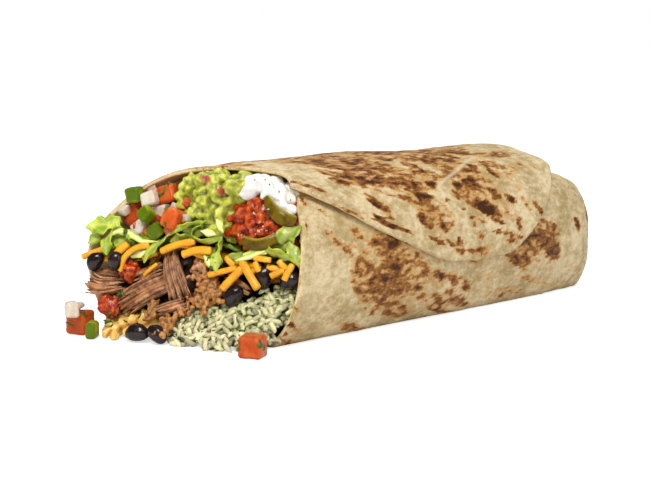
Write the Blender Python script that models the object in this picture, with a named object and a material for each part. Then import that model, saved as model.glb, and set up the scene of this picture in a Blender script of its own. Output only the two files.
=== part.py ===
"""Burrito with one open end: a rolled tortilla and the fillings that show at its mouth.

Lengths are in millimetres until a mesh is made, which is in metres. The burrito lies along X with
its mouth at -X, its near side at -Y and its flat underside on z = 0. Angles run round the roll in
degrees: 0 at the near side, 90 at the top, 180 at the far side and 270 at the underside.
"""
import math
import random

import bmesh
import bpy
from mathutils import Matrix, Vector, noise
from mathutils.bvhtree import BVHTree
from mathutils.geometry import tessellate_polygon

MM = 0.001

# The roll
HALF_WIDTH = 48.4
MOUTH_FLARE = 1.8
TOP_AT_MOUTH = 68.0
TOP_AT_END = 71.7
SECTION_POWER = 2.4
FOOT_SHARE = 0.13
MOUTH_X = -121.0
WIDEST_X = 19.0
HIGHEST_X = 92.0
LAST_RING_X = 141.0
TIP_X = 144.0
WALL = 2.2
WAVE = 0.5
CAVITY_END_X = 127.0
CAVITY_ROWS_X = (-56.0, 60.0, 90.0, 106.0, 121.0, CAVITY_END_X)

# The mouth's edge, as an angle and the place along X
MOUTH_EDGE = ((0, -94), (35, -86), (62, -75), (85, -84), (105, -93), (145, -111),
              (180, -122), (220, -119), (260, -112), (300, -100), (330, -97), (360, -94))

# The flap that laps over the top and the near side
FLAP_END_X = 101.0
FLAP_WALL = 2.0
FLAP_GAP = 0.9
FLAP_TIP_X = 25.0
FLAP_TIP_ANGLE = -4.0
FLAP_CORNER_X = -84.6
FLAP_CORNER_ANGLE = 51.5
FLAP_END_ANGLE = 48.5
CORNER_LIFT = 1.8
FLAP_OVERHANG = 4.5
ROOT_RING = 15
RING_SIDES = 40
FLAP_ROWS = 16
FLAP_ROW_POWER = 1.35
FLAP_COLUMNS = 15
END_ROWS_X = (109.0, 117.0, 125.0, 132.0, 137.5, LAST_RING_X)

# The fillings
CLEARANCE = 0.7
NODE_GAP = 0.35
CORE_SHRINK = 0.5
MOUTH_REFERENCE_X = -95.0
SPILL_REACH = 25.0
SPILL_SLANT = 0.27
SPILL_HEIGHT = 30.0
FLOOR_EDGE_X = -108.5
FLOOR_EDGE_SLANT = 0.27
GROUND_GAP = 0.4
GRAIN_LENGTH = 6.2
GRAIN_RADIUS = 1.05
GRAIN_COUNT = 62
GRAIN_SPACING = 2.9

# Colours, in linear light
TORTILLA = (0.78, 0.62, 0.40)
RICE = (0.70, 0.74, 0.52)
BEEF = (0.24, 0.10, 0.05)
CHEDDAR = (0.92, 0.42, 0.03)
MELTED = (0.90, 0.52, 0.18)
LETTUCE = (0.30, 0.52, 0.07)
TOMATO = (0.72, 0.12, 0.04)
ONION = (0.82, 0.80, 0.72)
PEPPER = (0.16, 0.34, 0.03)
PICO = (0.55, 0.22, 0.12)
GUACAMOLE = (0.46, 0.56, 0.06)
CREAM = (0.88, 0.88, 0.84)
SALSA = (0.50, 0.03, 0.01)
JALAPENO = (0.30, 0.28, 0.03)
BEAN = (0.02, 0.012, 0.015)

# The layers seen in the mouth, as outlines in Y and Z
RICE_OUTLINE = ((-50, 2.7), (-50, 25), (-33, 24), (-22, 17), (-8, 15.5), (4, 14), (9, 8), (10, 2.7))
MELTED_OUTLINE = ((10, 2.7), (9, 8), (14, 10), (25, 10), (34, 9.5), (38, 6), (38, 2.7))
BEEF_OUTLINE = ((-22, 17), (-8, 15.5), (4, 14), (9, 8), (14, 10), (25, 10), (34, 9.5), (50, 9),
                (50, 26), (35, 27), (22, 30), (12, 35), (2, 36), (-10, 31), (-20, 25))
CHEDDAR_OUTLINE = ((-50, 25), (-33, 24), (-20, 25), (-10, 31), (2, 36), (12, 35), (22, 30), (35, 27),
                   (50, 26), (50, 32), (35, 33), (22, 35), (12, 39.5), (2, 40.5), (-10, 36),
                   (-20, 32), (-33, 31), (-50, 31))
LETTUCE_OUTLINE = ((-50, 31), (-33, 31), (-20, 32), (-10, 36), (2, 40.5), (12, 39.5), (22, 35),
                   (35, 33), (50, 32), (50, 41), (40, 42), (30, 42), (20, 43), (11, 46), (0, 46),
                   (-10, 42), (-22, 37.5), (-35, 38), (-50, 38))
SALSA_OUTLINE = ((-50, 38), (-35, 38), (-22, 37.5), (-10, 42), (-8, 50), (-12, 58), (-22, 59),
                 (-34, 57), (-45, 64.5), (-50, 60))
CREAM_OUTLINE = ((-45, 64.5), (-34, 57), (-22, 59), (-12, 58), (-17, 68), (-32, 69))
GUACAMOLE_OUTLINE = ((-10, 42), (0, 46), (11, 46), (13, 60), (17.5, 69), (4, 69), (-17, 68),
                     (-12, 58), (-8, 50))
PICO_OUTLINE = ((20, 43), (30, 42), (40, 42), (50, 41), (50, 69), (17.5, 69), (13, 60), (11, 46))


# Numbers

def clamp(value, low=0.0, high=1.0):
    return max(low, min(high, value))


def mix(a, b, t):
    return a + (b - a) * t


def smooth(t):
    t = clamp(t)
    return t * t * (3 - 2 * t)


def signed_power(value, power):
    return math.copysign(abs(value) ** power, value)


def mouth_edge(angle):
    """Place along X of the mouth's edge, on a smooth curve through MOUTH_EDGE."""
    angle %= 360
    knots = MOUTH_EDGE[:-1]
    count = len(knots)
    i = max(k for k in range(count) if knots[k][0] <= angle)

    def knot(k):
        return knots[k % count][0] + 360 * (k // count), knots[k % count][1]

    (a0, x0), (a1, x1), (a2, x2), (a3, x3) = (knot(i + k) for k in (-1, 0, 1, 2))
    t = (angle - a1) / (a2 - a1)
    slope1 = (x2 - x0) / (a2 - a0) * (a2 - a1)
    slope2 = (x3 - x1) / (a3 - a1) * (a2 - a1)
    return ((2 * t ** 3 - 3 * t ** 2 + 1) * x1 + (t ** 3 - 2 * t ** 2 + t) * slope1
            + (3 * t ** 2 - 2 * t ** 3) * x2 + (t ** 3 - t ** 2) * slope2)


# The roll's section

def half_width(x):
    taper = clamp((x - WIDEST_X) / (TIP_X - WIDEST_X), 0, 0.985)
    flare = MOUTH_FLARE * clamp((-56 - x) / 65)
    return HALF_WIDTH * (1 - taper ** 4) ** 0.2 + flare


def top_height(x):
    rise = mix(TOP_AT_MOUTH, TOP_AT_END, clamp((x - MOUTH_X) / (HIGHEST_X - MOUTH_X)))
    taper = clamp((x - HIGHEST_X) / (TIP_X - HIGHEST_X), 0, 0.965)
    return rise * (1 - taper ** 1.2) ** (1 / 6.5)


def section(x, angle, grow=0.0, floor=0.0):
    """Point on the roll's section, moved outwards by grow and kept above a floor."""
    a = math.radians(angle)
    top = top_height(x) + grow
    half_height = (top_height(x) + 2 * grow) / (1 - FOOT_SHARE) / 2
    middle = top - half_height
    y = -(half_width(x) + grow) * signed_power(math.cos(a), 2 / SECTION_POWER)
    z = middle + half_height * signed_power(math.sin(a), 2 / SECTION_POWER)
    return Vector((x, y, max(z, floor)))


def wave(x, angle):
    a = math.radians(angle)
    return WAVE * noise.noise(Vector((x / 26, 2.2 * math.cos(a), 2.2 * math.sin(a))))


def room(x, z):
    """Half the width inside the wall at a height."""
    grow = -WALL - CLEARANCE
    half_height = (top_height(x) + 2 * grow) / (1 - FOOT_SHARE) / 2
    middle = top_height(x) + grow - half_height
    share = abs(z - middle) / half_height
    if share >= 1:
        return 0.0
    return (half_width(x) + grow) * (1 - share ** SECTION_POWER) ** (1 / SECTION_POWER)


def floor_edge(y):
    """Place along X where the tortilla's floor ends at the mouth."""
    return FLOOR_EDGE_X - FLOOR_EDGE_SLANT * y


def inside(x, y, z):
    """Point in the roll at x that answers to a place in the mouth's section."""
    low = WALL + CLEARANCE
    high = top_height(x) - low
    high_there = top_height(MOUTH_REFERENCE_X) - low
    widen = (half_width(x) - low) / (half_width(MOUTH_REFERENCE_X) - low)
    spilled = clamp((floor_edge(y) - 2.0 - x) / 3)
    foot = mix(low, GROUND_GAP, spilled)
    return Vector((x, y * widen, foot + (z - low) * (high - foot) / (high_there - low)))


def fitted(y, z):
    """Place moved towards the middle of the mouth until it is inside the wall."""
    low = WALL + CLEARANCE
    centre = Vector((0, top_height(MOUTH_REFERENCE_X) / 2))
    point = Vector((y, max(z, low)))
    for _ in range(200):
        if abs(point.x) <= room(MOUTH_REFERENCE_X, point.y):
            break
        point = point.lerp(centre, 0.01)
        point.y = max(point.y, low)
    return point.x, point.y


def front(y, z):
    """Place along X of the fillings' front, which leans back at the top and spills at the foot."""
    x = -105 - 0.28 * y
    x += 0.36 * max(z - 37, 0)
    reach = SPILL_REACH - SPILL_SLANT * y
    x -= reach * (max(SPILL_HEIGHT - z, 0) / SPILL_HEIGHT) ** 2
    x += 0.02 * max(-30 - y, 0) ** 2 * clamp(z / 20)
    return x


def at_front(y, z, depth=0.0):
    return Vector((front(y, z) + depth, y, z))


# Objects and materials

def material(name, colour, rough):
    made = bpy.data.materials.get(name)
    if made is None:
        made = bpy.data.materials.new(name)
        made.use_nodes = True
        shader = made.node_tree.nodes["Principled BSDF"]
        shader.inputs["Base Color"].default_value = (*colour, 1)
        shader.inputs["Roughness"].default_value = rough
        shader.inputs["Metallic"].default_value = 0
    return made


def add_object(name, bm, colour, rough=0.5):
    """Make an object from a bmesh in millimetres, with its faces turned outwards."""
    bmesh.ops.triangulate(bm, faces=bm.faces[:])
    bmesh.ops.recalc_face_normals(bm, faces=bm.faces[:])
    if bm.calc_volume(signed=True) < 0:
        bmesh.ops.reverse_faces(bm, faces=bm.faces[:])
    bmesh.ops.scale(bm, vec=(MM, MM, MM), verts=bm.verts[:])
    mesh = bpy.data.meshes.new(name)
    bm.to_mesh(mesh)
    bm.free()
    made = bpy.data.objects.new(name, mesh)
    bpy.context.scene.collection.objects.link(made)
    mesh.materials.append(material(name.rstrip("0123456789_") + "_finish", colour, rough))
    return made


def new_faces(bm, quads):
    for quad in quads:
        corners = list(dict.fromkeys(quad))
        if len(corners) > 2:
            bm.faces.new(corners)


# The tortilla

def flap_edge_angle(x):
    """Angle of the flap's free edge, which hangs lowest at its tip."""
    if x < FLAP_TIP_X:
        share = (FLAP_TIP_X - x) / (FLAP_TIP_X - FLAP_CORNER_X)
        return mix(FLAP_TIP_ANGLE, FLAP_CORNER_ANGLE, min(share, 1.0) ** 2.1)
    share = (x - FLAP_TIP_X) / (FLAP_END_X - FLAP_TIP_X)
    return mix(FLAP_TIP_ANGLE, FLAP_END_ANGLE, min(share, 1.0) ** 3)


def roll_mouth(angle):
    """Place along X of the roll's own edge, set back where the flap covers it."""
    return mouth_edge(angle) + FLAP_OVERHANG * smooth((angle - 50) / 15) * smooth((130 - angle) / 30)


def flap_mouth(angle):
    """Place along X of the flap's end at the mouth, with its corner a little further out."""
    reach = mouth_edge(FLAP_CORNER_ANGLE) - FLAP_CORNER_X
    return mouth_edge(angle) - reach * smooth((78 - angle) / 26)


def row_share(row):
    """How far a row is from the mouth to the flap's end, closer together near that end."""
    return 1 - (1 - row / FLAP_ROWS) ** FLAP_ROW_POWER


def flap_row(row):
    """Angle of the free edge in a row and the function that gives a place along X in that row."""
    share = row_share(row)

    def place(angle):
        return mix(flap_mouth(angle), FLAP_END_X, share)

    angle = FLAP_CORNER_ANGLE
    for _ in range(30):
        angle = mix(angle, flap_edge_angle(place(angle)), 0.5)
    return angle, place


def flap_lift(x, angle):
    return CORNER_LIFT * smooth((-38 - x) / 46) * smooth((80 - angle) / 28)


def make_flap(bm, rings):
    """Add the flap to the roll, from its root to its free edge."""
    crotch_angle = (ROOT_RING - 1) * 360 / RING_SIDES
    root_angle = ROOT_RING * 360 / RING_SIDES
    upper, under = [], []
    for row in range(FLAP_ROWS + 1):
        edge_angle, place = flap_row(row)
        over_row = [rings[row][ROOT_RING]]
        under_row = [rings[row][ROOT_RING - 1]]
        for column in range(1, FLAP_COLUMNS + 1):
            share = column / FLAP_COLUMNS
            angle = mix(root_angle, edge_angle, share)
            x = place(angle)
            wall = FLAP_WALL * smooth(share * 5) * (0.6 if column == FLAP_COLUMNS else 1.0)
            grow = FLAP_GAP + wall + flap_lift(x, angle) + wave(x, angle)
            over_row.append(bm.verts.new(section(x, angle, grow)))
            angle = mix(crotch_angle, edge_angle, share)
            x = place(angle)
            grow = FLAP_GAP + flap_lift(x, angle) + wave(x, angle)
            under_row.append(bm.verts.new(section(x, angle, grow)))
        upper.append(over_row)
        under.append(under_row)
    quads = []
    for row in range(FLAP_ROWS):
        for column in range(FLAP_COLUMNS):
            for sheet in (upper, under):
                quads.append((sheet[row][column], sheet[row][column + 1],
                              sheet[row + 1][column + 1], sheet[row + 1][column]))
        quads.append((upper[row][-1], upper[row + 1][-1], under[row + 1][-1], under[row][-1]))
    for row in (0, FLAP_ROWS):
        for column in range(FLAP_COLUMNS):
            quads.append((upper[row][column], upper[row][column + 1],
                          under[row][column + 1], under[row][column]))
    new_faces(bm, quads)


def make_tortilla():
    """The rolled tortilla as one shell, open at the mouth and folded shut at its other end."""
    bm = bmesh.new()
    angles = [360 * k / RING_SIDES for k in range(RING_SIDES)]
    rings = []
    for row in range(FLAP_ROWS + 1):
        ring = []
        for angle in angles:
            x = mix(roll_mouth(angle), FLAP_END_X, row_share(row))
            ring.append(bm.verts.new(section(x, angle, wave(x, angle))))
        rings.append(ring)
    for x in END_ROWS_X:
        rings.append([bm.verts.new(section(x, a, wave(x, a))) for a in angles])
    middle = Vector((0, 0, 25))
    for share, x in ((0.8, LAST_RING_X + 1.7), (0.45, LAST_RING_X + 2.3)):
        ring = []
        for angle in angles:
            point = section(LAST_RING_X, angle, wave(LAST_RING_X, angle))
            fold = 0.7 * math.sin(math.radians(3 * angle + 40))
            y = mix(middle.y, point.y, share)
            z = mix(middle.z, point.z, share)
            ring.append(bm.verts.new((x + fold * share, y, z)))
        rings.append(ring)
    inner = [[bm.verts.new(section(roll_mouth(a), a, -WALL, WALL)) for a in angles]]
    for x in CAVITY_ROWS_X:
        inner.append([bm.verts.new(section(x, a, -WALL, WALL)) for a in angles])
    quads = []
    for sheet in (rings, inner):
        for row in range(len(sheet) - 1):
            for k in range(RING_SIDES):
                if sheet is rings and k == ROOT_RING - 1 and row < FLAP_ROWS:
                    continue
                n = (k + 1) % RING_SIDES
                quads.append((sheet[row][k], sheet[row][n], sheet[row + 1][n], sheet[row + 1][k]))
        x = TIP_X if sheet is rings else CAVITY_END_X
        centre = bm.verts.new((x, 0, 25))
        for k in range(RING_SIDES):
            quads.append((sheet[-1][k], sheet[-1][(k + 1) % RING_SIDES], centre))
    for k in range(RING_SIDES):
        n = (k + 1) % RING_SIDES
        quads.append((rings[0][k], rings[0][n], inner[0][n], inner[0][k]))
    new_faces(bm, quads)
    make_flap(bm, rings)
    return add_object("tortilla", bm, TORTILLA, 0.8)


# The cores of the fillings

def shrunk(outline, amount):
    """Outline with each corner moved in by an amount."""
    area = sum(a[0] * b[1] - b[0] * a[1] for a, b in zip(outline, outline[1:] + outline[:1]))
    turn = 1 if area > 0 else -1
    result = []
    for i, point in enumerate(outline):
        here = Vector(point)
        before = (here - Vector(outline[i - 1])).normalized()
        after = (Vector(outline[(i + 1) % len(outline)]) - here).normalized()
        inwards = Vector((-(before.y + after.y), before.x + after.x)) * turn
        size = max(inwards.length, 0.6)
        result.append(tuple(here + inwards.normalized() * amount * 2 / size))
    return result


def split(outline, longest):
    """Outline with its long sides cut into shorter ones."""
    result = []
    for i, start in enumerate(outline):
        end = outline[(i + 1) % len(outline)]
        parts = max(1, math.ceil(math.dist(start, end) / longest))
        result += [tuple(Vector(start).lerp(Vector(end), k / parts)) for k in range(parts)]
    return result


def make_core(name, outline, depth, colour, lumps=0.0, grain=6.0, caps=(), longest=14.0,
              dome=1.0, rough=0.5):
    """Solid that runs through the roll from its lumpy front, depth behind the fillings' front."""
    places = []
    for y, z in split(shrunk(list(outline), CORE_SHRINK), longest):
        place = fitted(y, z)
        if all(math.dist(place, other) > 0.5 for other in places):
            places.append(place)
    centre = sum((Vector(place) for place in places), Vector((0, 0))) / len(places)
    bm = bmesh.new()

    def front_point(place, inset):
        point = inside(front(*place) + depth, *place)
        bump = lumps * noise.noise(point / grain) * min(1.0, inset * 3)
        point.x -= dome * smooth(inset) + 1.5 * bump
        return point

    rows = []
    for keep in (*reversed(caps), 1.0):
        kept_places = [tuple(centre.lerp(Vector(place), keep)) for place in places]
        rows.append([bm.verts.new(front_point(place, 1 - keep)) for place in kept_places])
    lip = []
    for y, z in places:
        x = max(front(y, z) + depth + 4.0, floor_edge(y) - 1.8)
        lip.append(bm.verts.new(inside(x, y, z)))
    rows.append(lip)
    for x in CAVITY_ROWS_X[:-1]:
        rows.append([bm.verts.new(inside(x, y, z)) for y, z in places])
    count = len(places)
    quads = []
    for row in range(len(rows) - 1):
        for k in range(count):
            n = (k + 1) % count
            quads.append((rows[row][k], rows[row][n], rows[row + 1][n], rows[row + 1][k]))
    triangles = tessellate_polygon([[Vector((y, z, 0)) for y, z in places]])
    quads += [tuple(rows[-1][i] for i in triangle) for triangle in triangles]
    if caps:
        tip = bm.verts.new(front_point(tuple(centre), 1))
        for k in range(count):
            quads.append((rows[0][k], rows[0][(k + 1) % count], tip))
    else:
        quads += [tuple(rows[0][i] for i in triangle) for triangle in triangles]
    new_faces(bm, quads)
    return add_object(name, bm, colour, rough)


# Small pieces, each made at the origin in millimetres

def dice_mesh(size, rng, cut=0.9):
    """Cut cube with uneven corners and softened edges."""
    bm = bmesh.new()
    bmesh.ops.create_cube(bm, size=1.0)
    for vert in bm.verts:
        vert.co = Vector(c * s * rng.uniform(0.9, 1.08) for c, s in zip(vert.co, size))
    bmesh.ops.bevel(bm, geom=bm.edges[:], offset=cut, segments=1, profile=0.5, affect="EDGES",
                    material=-1)
    return bm


def bean_mesh(length, width, rng):
    """Kidney-shaped bean along X."""
    bm = bmesh.new()
    bmesh.ops.create_uvsphere(bm, u_segments=8, v_segments=6, radius=1.0,
                              matrix=Matrix.Rotation(math.pi / 2, 4, "Y"))
    notch = rng.uniform(0.10, 0.18)
    for vert in bm.verts:
        x, y, z = vert.co
        vert.co = Vector((x * length / 2, (y + notch * (1 - 2 * x * x)) * width / 2,
                          z * width * 0.44))
    return bm


def grain_mesh(length, radius, bend, sides=4):
    """Rice grain along X, as a bent spindle."""
    bm = bmesh.new()
    rows = []
    for share, size in ((-0.42, 0.62), (0.0, 1.0), (0.42, 0.66)):
        x = share * length
        sag = bend * (1 - 4 * share * share)
        rows.append([bm.verts.new((x, radius * size * math.cos(2 * math.pi * k / sides),
                                   radius * size * math.sin(2 * math.pi * k / sides) + sag))
                     for k in range(sides)])
    ends = [bm.verts.new((-length / 2, 0, 0)), bm.verts.new((length / 2, 0, 0))]
    quads = []
    for k in range(sides):
        n = (k + 1) % sides
        quads += [(rows[0][k], rows[0][n], ends[0]), (rows[2][k], rows[2][n], ends[1])]
        for row in (0, 1):
            quads.append((rows[row][k], rows[row][n], rows[row + 1][n], rows[row + 1][k]))
    new_faces(bm, quads)
    return bm


def strip_mesh(points, width, thick, taper=0.7, twist=0.0):
    """Bar of oblong section through some points."""
    bm = bmesh.new()
    rows = []
    last = len(points) - 1
    for i, point in enumerate(points):
        ahead = (points[min(i + 1, last)] - points[max(i - 1, 0)]).normalized()
        side = ahead.cross(Vector((-1, -0.3, 0.1))).normalized()
        out = side.cross(ahead).normalized()
        turn = Matrix.Rotation(twist * i / last, 3, ahead)
        side, out = turn @ side, turn @ out
        size = taper if i in (0, last) else 1.0
        rows.append([bm.verts.new(point + side * width / 2 * a * size + out * thick / 2 * b * size)
                     for a, b in ((-1, -1), (1, -1), (1, 1), (-1, 1))])
    quads = [tuple(rows[0]), tuple(rows[-1])]
    for i in range(last):
        for k in range(4):
            n = (k + 1) % 4
            quads.append((rows[i][k], rows[i][n], rows[i + 1][n], rows[i + 1][k]))
    new_faces(bm, quads)
    return bm


def leaf_mesh(start, end, width, sag, ruffle, seed, thick=0.8, long_cuts=5, wide_cuts=3):
    """Wavy leaf between two points, with both faces split alike."""
    bm = bmesh.new()
    ahead = end - start
    side = ahead.cross(Vector((-1, -0.3, 0))).normalized()
    out = side.cross(ahead).normalized()
    if out.x > 0:
        out.negate()
    faces = ([], [])
    for i in range(long_cuts + 1):
        u = i / long_cuts
        half = width / 2 * (0.3 + 0.7 * math.sin(math.pi * mix(0.02, 0.85, u)))
        lines = ([], [])
        for j in range(wide_cuts + 1):
            v = 2 * j / wide_cuts - 1
            bow = ruffle * math.sin(5 * u + 2.2 * v + seed) * (0.3 + abs(v))
            point = start + ahead * u + side * half * v + out * (bow + sag * math.sin(math.pi * u))
            for line, shift in zip(lines, (-thick / 2, thick / 2)):
                line.append(bm.verts.new(point + out * shift))
        for face, line in zip(faces, lines):
            face.append(line)
    quads = []
    for face in faces:
        for i in range(long_cuts):
            for j in range(wide_cuts):
                a, b = face[i][j], face[i][j + 1]
                c, d = face[i + 1][j + 1], face[i + 1][j]
                quads += [(a, b, c), (a, c, d)]
    near, far = faces
    for i in range(long_cuts):
        for j in (0, wide_cuts):
            quads.append((near[i][j], near[i + 1][j], far[i + 1][j], far[i][j]))
    for j in range(wide_cuts):
        for i in (0, long_cuts):
            quads.append((near[i][j], near[i][j + 1], far[i][j + 1], far[i][j]))
    new_faces(bm, quads)
    return bm


def arc_mesh(radius, wall, height, start, end, cuts=8):
    """Part of a pepper ring about Z, cut between two angles."""
    bm = bmesh.new()
    rows = []
    for i in range(cuts + 1):
        a = math.radians(mix(start, end, i / cuts))
        wide = wall * (0.75 if i in (0, cuts) else 1.0)
        way = Vector((math.cos(a), math.sin(a), 0))
        rows.append([bm.verts.new(way * (radius + dr * wide / 2) + Vector((0, 0, dz * height / 2)))
                     for dr, dz in ((-1, -0.8), (1, -1), (1.15, 0), (1, 1), (-1, 0.8))])
    quads = [tuple(rows[0]), tuple(rows[-1])]
    for i in range(cuts):
        for k in range(5):
            n = (k + 1) % 5
            quads.append((rows[i][k], rows[i][n], rows[i + 1][n], rows[i + 1][k]))
    new_faces(bm, quads)
    return bm


def lump_mesh(size, rng, rough=0.22):
    """Uneven crumb."""
    bm = bmesh.new()
    bmesh.ops.create_icosphere(bm, subdivisions=1, radius=1.0)
    for vert in bm.verts:
        vert.co = Vector(c * s for c, s in zip(vert.co, size)) * (1 + rng.uniform(-rough, rough))
    return bm


# Placing

class Yard:
    """The pieces placed so far, against which the next one is tried."""

    def __init__(self):
        self.trees = {}

    def add(self, made):
        """Remember an object's surface under its own name."""
        bm = bmesh.new()
        bm.from_mesh(made.data)
        bmesh.ops.transform(bm, matrix=made.matrix_world, verts=bm.verts[:])
        bmesh.ops.scale(bm, vec=(1 / MM, 1 / MM, 1 / MM), verts=bm.verts[:])
        self.trees[made.name] = BVHTree.FromBMesh(bm)
        bm.free()

    def clear(self, bm, gap=NODE_GAP, skip=()):
        """Whether a piece stands on or above the ground and keeps its gap from other objects."""
        if min(vert.co.z for vert in bm.verts) < -0.001:
            return False
        grown = bm.copy()
        grown.normal_update()
        for vert in grown.verts:
            vert.co += vert.normal * gap * 1.35
        tree = BVHTree.FromBMesh(grown)
        grown.free()
        middle = sum((vert.co for vert in bm.verts), Vector()) / len(bm.verts)
        others = [other for name, other in self.trees.items() if name not in skip]
        return not any(other.overlap(tree) or holds(other, middle) for other in others)


def holds(tree, point):
    """Whether a closed surface has a point inside it."""
    way = Vector((0.31, 0.22, 0.93)).normalized()
    hits = 0
    spot, _, _, _ = tree.ray_cast(point, way)
    while spot is not None and hits < 50:
        hits += 1
        spot, _, _, _ = tree.ray_cast(spot + way * 0.001, way)
    return hits % 2 == 1


OUTWARDS = Vector((-0.94, -0.30, 0.16))
TO_VIEWER = Vector((-0.74, -0.66, 0.12))


def turned(bm, turn, place):
    bmesh.ops.transform(bm, matrix=Matrix.Translation(place) @ turn.to_4x4(),
                        verts=bm.verts[:])
    bmesh.ops.recalc_face_normals(bm, faces=bm.faces[:])
    if bm.calc_volume(signed=True) < 0:
        bmesh.ops.reverse_faces(bm, faces=bm.faces[:])
    return bm


def behind(y, z, depth):
    """Place on the line of sight through the fillings' front, some way behind it."""
    return at_front(y, z) - TO_VIEWER * depth


def settle(bm, yard, way=TO_VIEWER, reach=18.0, step=0.3):
    """Move a piece until it is clear of the others; returns how far, or None if it never is."""
    moved = 0.0
    while moved < reach:
        if yard.clear(bm):
            return moved
        bmesh.ops.translate(bm, vec=way * step, verts=bm.verts[:])
        moved += step
    return None


def nestled(make, yard, tries):
    """The try that ends up deepest among the others, with the rest freed."""
    best, least = None, None
    for attempt in range(tries):
        bm, way = make(attempt)
        moved = settle(bm, yard, way)
        if moved is not None and (least is None or moved < least):
            if best:
                best.free()
            best, least = bm, moved
        else:
            bm.free()
        if least is not None and least < 0.5:
            break
    return best


def random_turn(rng):
    axis = Vector((rng.gauss(0, 1), rng.gauss(0, 1), rng.gauss(0, 1))).normalized()
    return Matrix.Rotation(rng.uniform(0, math.tau), 3, axis)


def front_frame():
    """Turn that takes +Z outwards from the fillings' front."""
    return OUTWARDS.to_track_quat("Z", "Y").to_matrix()


def place_dices(yard):
    """Diced tomato, onion and pepper, in the mouth and spilled in front of it."""
    rng = random.Random(7)
    kinds = {"tomato_dice": (TOMATO, 9.4), "onion_dice": (ONION, 7.6), "pepper_dice": (PEPPER, 7.4)}
    resting = (("tomato_dice", (-129.0, 46.0, 0), (9.6, 9.8, 9.8), 20),
               ("pepper_dice", (-132.5, 34.0, 0), (7.6, 4.6, 7.4), 35),
               ("onion_dice", (-131.0, 47.0, 10.8), (8.4, 7.0, 2.6), 30),
               ("onion_dice", (-129.0, 37.5, 8.6), (6.0, 5.4, 6.6), 60),
               ("tomato_dice", (-118.5, -45.5, 0), (10.6, 9.6, 8.6), 25))
    heaped = (("tomato_dice", 33.5, 50.5, 8.8), ("pepper_dice", 34.5, 58, 7.0),
              ("tomato_dice", 19.5, 59.5, 8.6), ("onion_dice", 27.5, 57.5, 6.8),
              ("onion_dice", 28.5, 45.5, 7.0), ("pepper_dice", 27, 51.5, 6.4),
              ("tomato_dice", 13.5, 49, 9.0), ("pepper_dice", 21.5, 45, 6.8),
              ("onion_dice", 20.5, 52.5, 6.8))
    counts = dict.fromkeys(kinds, 0)
    jobs = [(kind, Vector(place), size, turn) for kind, place, size, turn in resting]
    jobs += [(kind, behind(y, z, 9), (s, s * 0.92, s * 0.86), None) for kind, y, z, s in heaped]
    for kind, place, size, turn in jobs:

        def make(attempt):
            bm = dice_mesh(size, rng)
            if turn is None:
                spin = front_frame() @ Matrix.Rotation(rng.uniform(0, 1.5), 3, "Z")
                spin = spin @ Matrix.Rotation(rng.uniform(-0.4, 0.4), 3, "X")
                jog = Vector((0, rng.uniform(-1, 1), rng.uniform(-1, 1))) * min(attempt * 0.15, 1)
                return turned(bm, spin, place + jog), TO_VIEWER
            turned(bm, Matrix.Rotation(math.radians(turn), 3, "Z"), place)
            low = min(v.co.z for v in bm.verts)
            bmesh.ops.translate(bm, vec=(0, 0, place.z - low), verts=bm.verts[:])
            return bm, Vector((-0.9, math.copysign(0.43, place.y), 0))

        bm = nestled(make, yard, 12 if turn is None else 1)
        if bm:
            counts[kind] += 1
            yard.add(add_object(f"{kind}_{counts[kind]}", bm, kinds[kind][0], 0.35))
        else:
            print("no room for", kind, place)


def place_beans(yard):
    """Black beans, some in the mouth and some at its foot."""
    rng = random.Random(11)
    jobs = ((47, 30, 9.0, 7.0, 60), (37, 31, 8.0, 6.4, 100), (-20, 20, 10.2, 7.6, 65),
            (-31, 28, 10.0, 7.4, 80), (-41, 27, 9.4, 7.6, 20), (-11.5, 31, 8.6, 6.6, 120),
            (14, 3.8, 10.6, 7.4, 5), (3.5, 4.2, 9.6, 7.0, -15))
    for i, (y, z, length, width, tilt) in enumerate(jobs, 1):

        def make(attempt):
            bm = bean_mesh(length, width, rng)
            angle = math.radians(tilt + rng.uniform(-4, 4) * attempt)
            return turned(bm, front_frame() @ Matrix.Rotation(angle, 3, "Z"),
                          behind(y, z, 7)), TO_VIEWER

        bm = nestled(make, yard, 6)
        if bm:
            yard.add(add_object(f"black_bean_{i}", bm, BEAN, 0.2))
        else:
            print("no room for bean", i)


def place_peppers(yard):
    """Two pickled jalapeno slices beside the salsa."""
    jobs = ((-27.0, 49.0, 13.0, -12, 82), (-30.5, 53.0, 13.0, 212, 305))
    for i, (y, z, radius, start, end) in enumerate(jobs, 1):
        bm = arc_mesh(radius, 3.0, 4.2, start, end)
        turned(bm, front_frame(), behind(y, z, 3.0))
        if settle(bm, yard) is not None:
            yard.add(add_object(f"jalapeno_slice_{i}", bm, JALAPENO, 0.3))
        else:
            print("no room for jalapeno", i)
            bm.free()


def place_salsa_drops(yard):
    """Two lumps of salsa on the beef."""
    rng = random.Random(5)
    for i, (y, z, size) in enumerate(((31, 27, (3.2, 4.2, 5.2)), (36, 12, (3.8, 4.8, 4.4))), 1):
        bm = bmesh.new()
        bmesh.ops.create_icosphere(bm, subdivisions=2, radius=1.0)
        for vert in bm.verts:
            lump = 1 + 0.3 * noise.noise(vert.co * 2.1 + Vector((i, 0, 0)))
            vert.co = Vector(c * s for c, s in zip(vert.co, size)) * lump
        turned(bm, Matrix.Rotation(rng.uniform(-0.3, 0.3), 3, "Z"), behind(y, z, 7.0))
        if settle(bm, yard) is not None:
            yard.add(add_object(f"salsa_drop_{i}", bm, SALSA, 0.25))
        else:
            print("no room for salsa drop", i)
            bm.free()


# Heaps: pieces fused to a core

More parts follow.
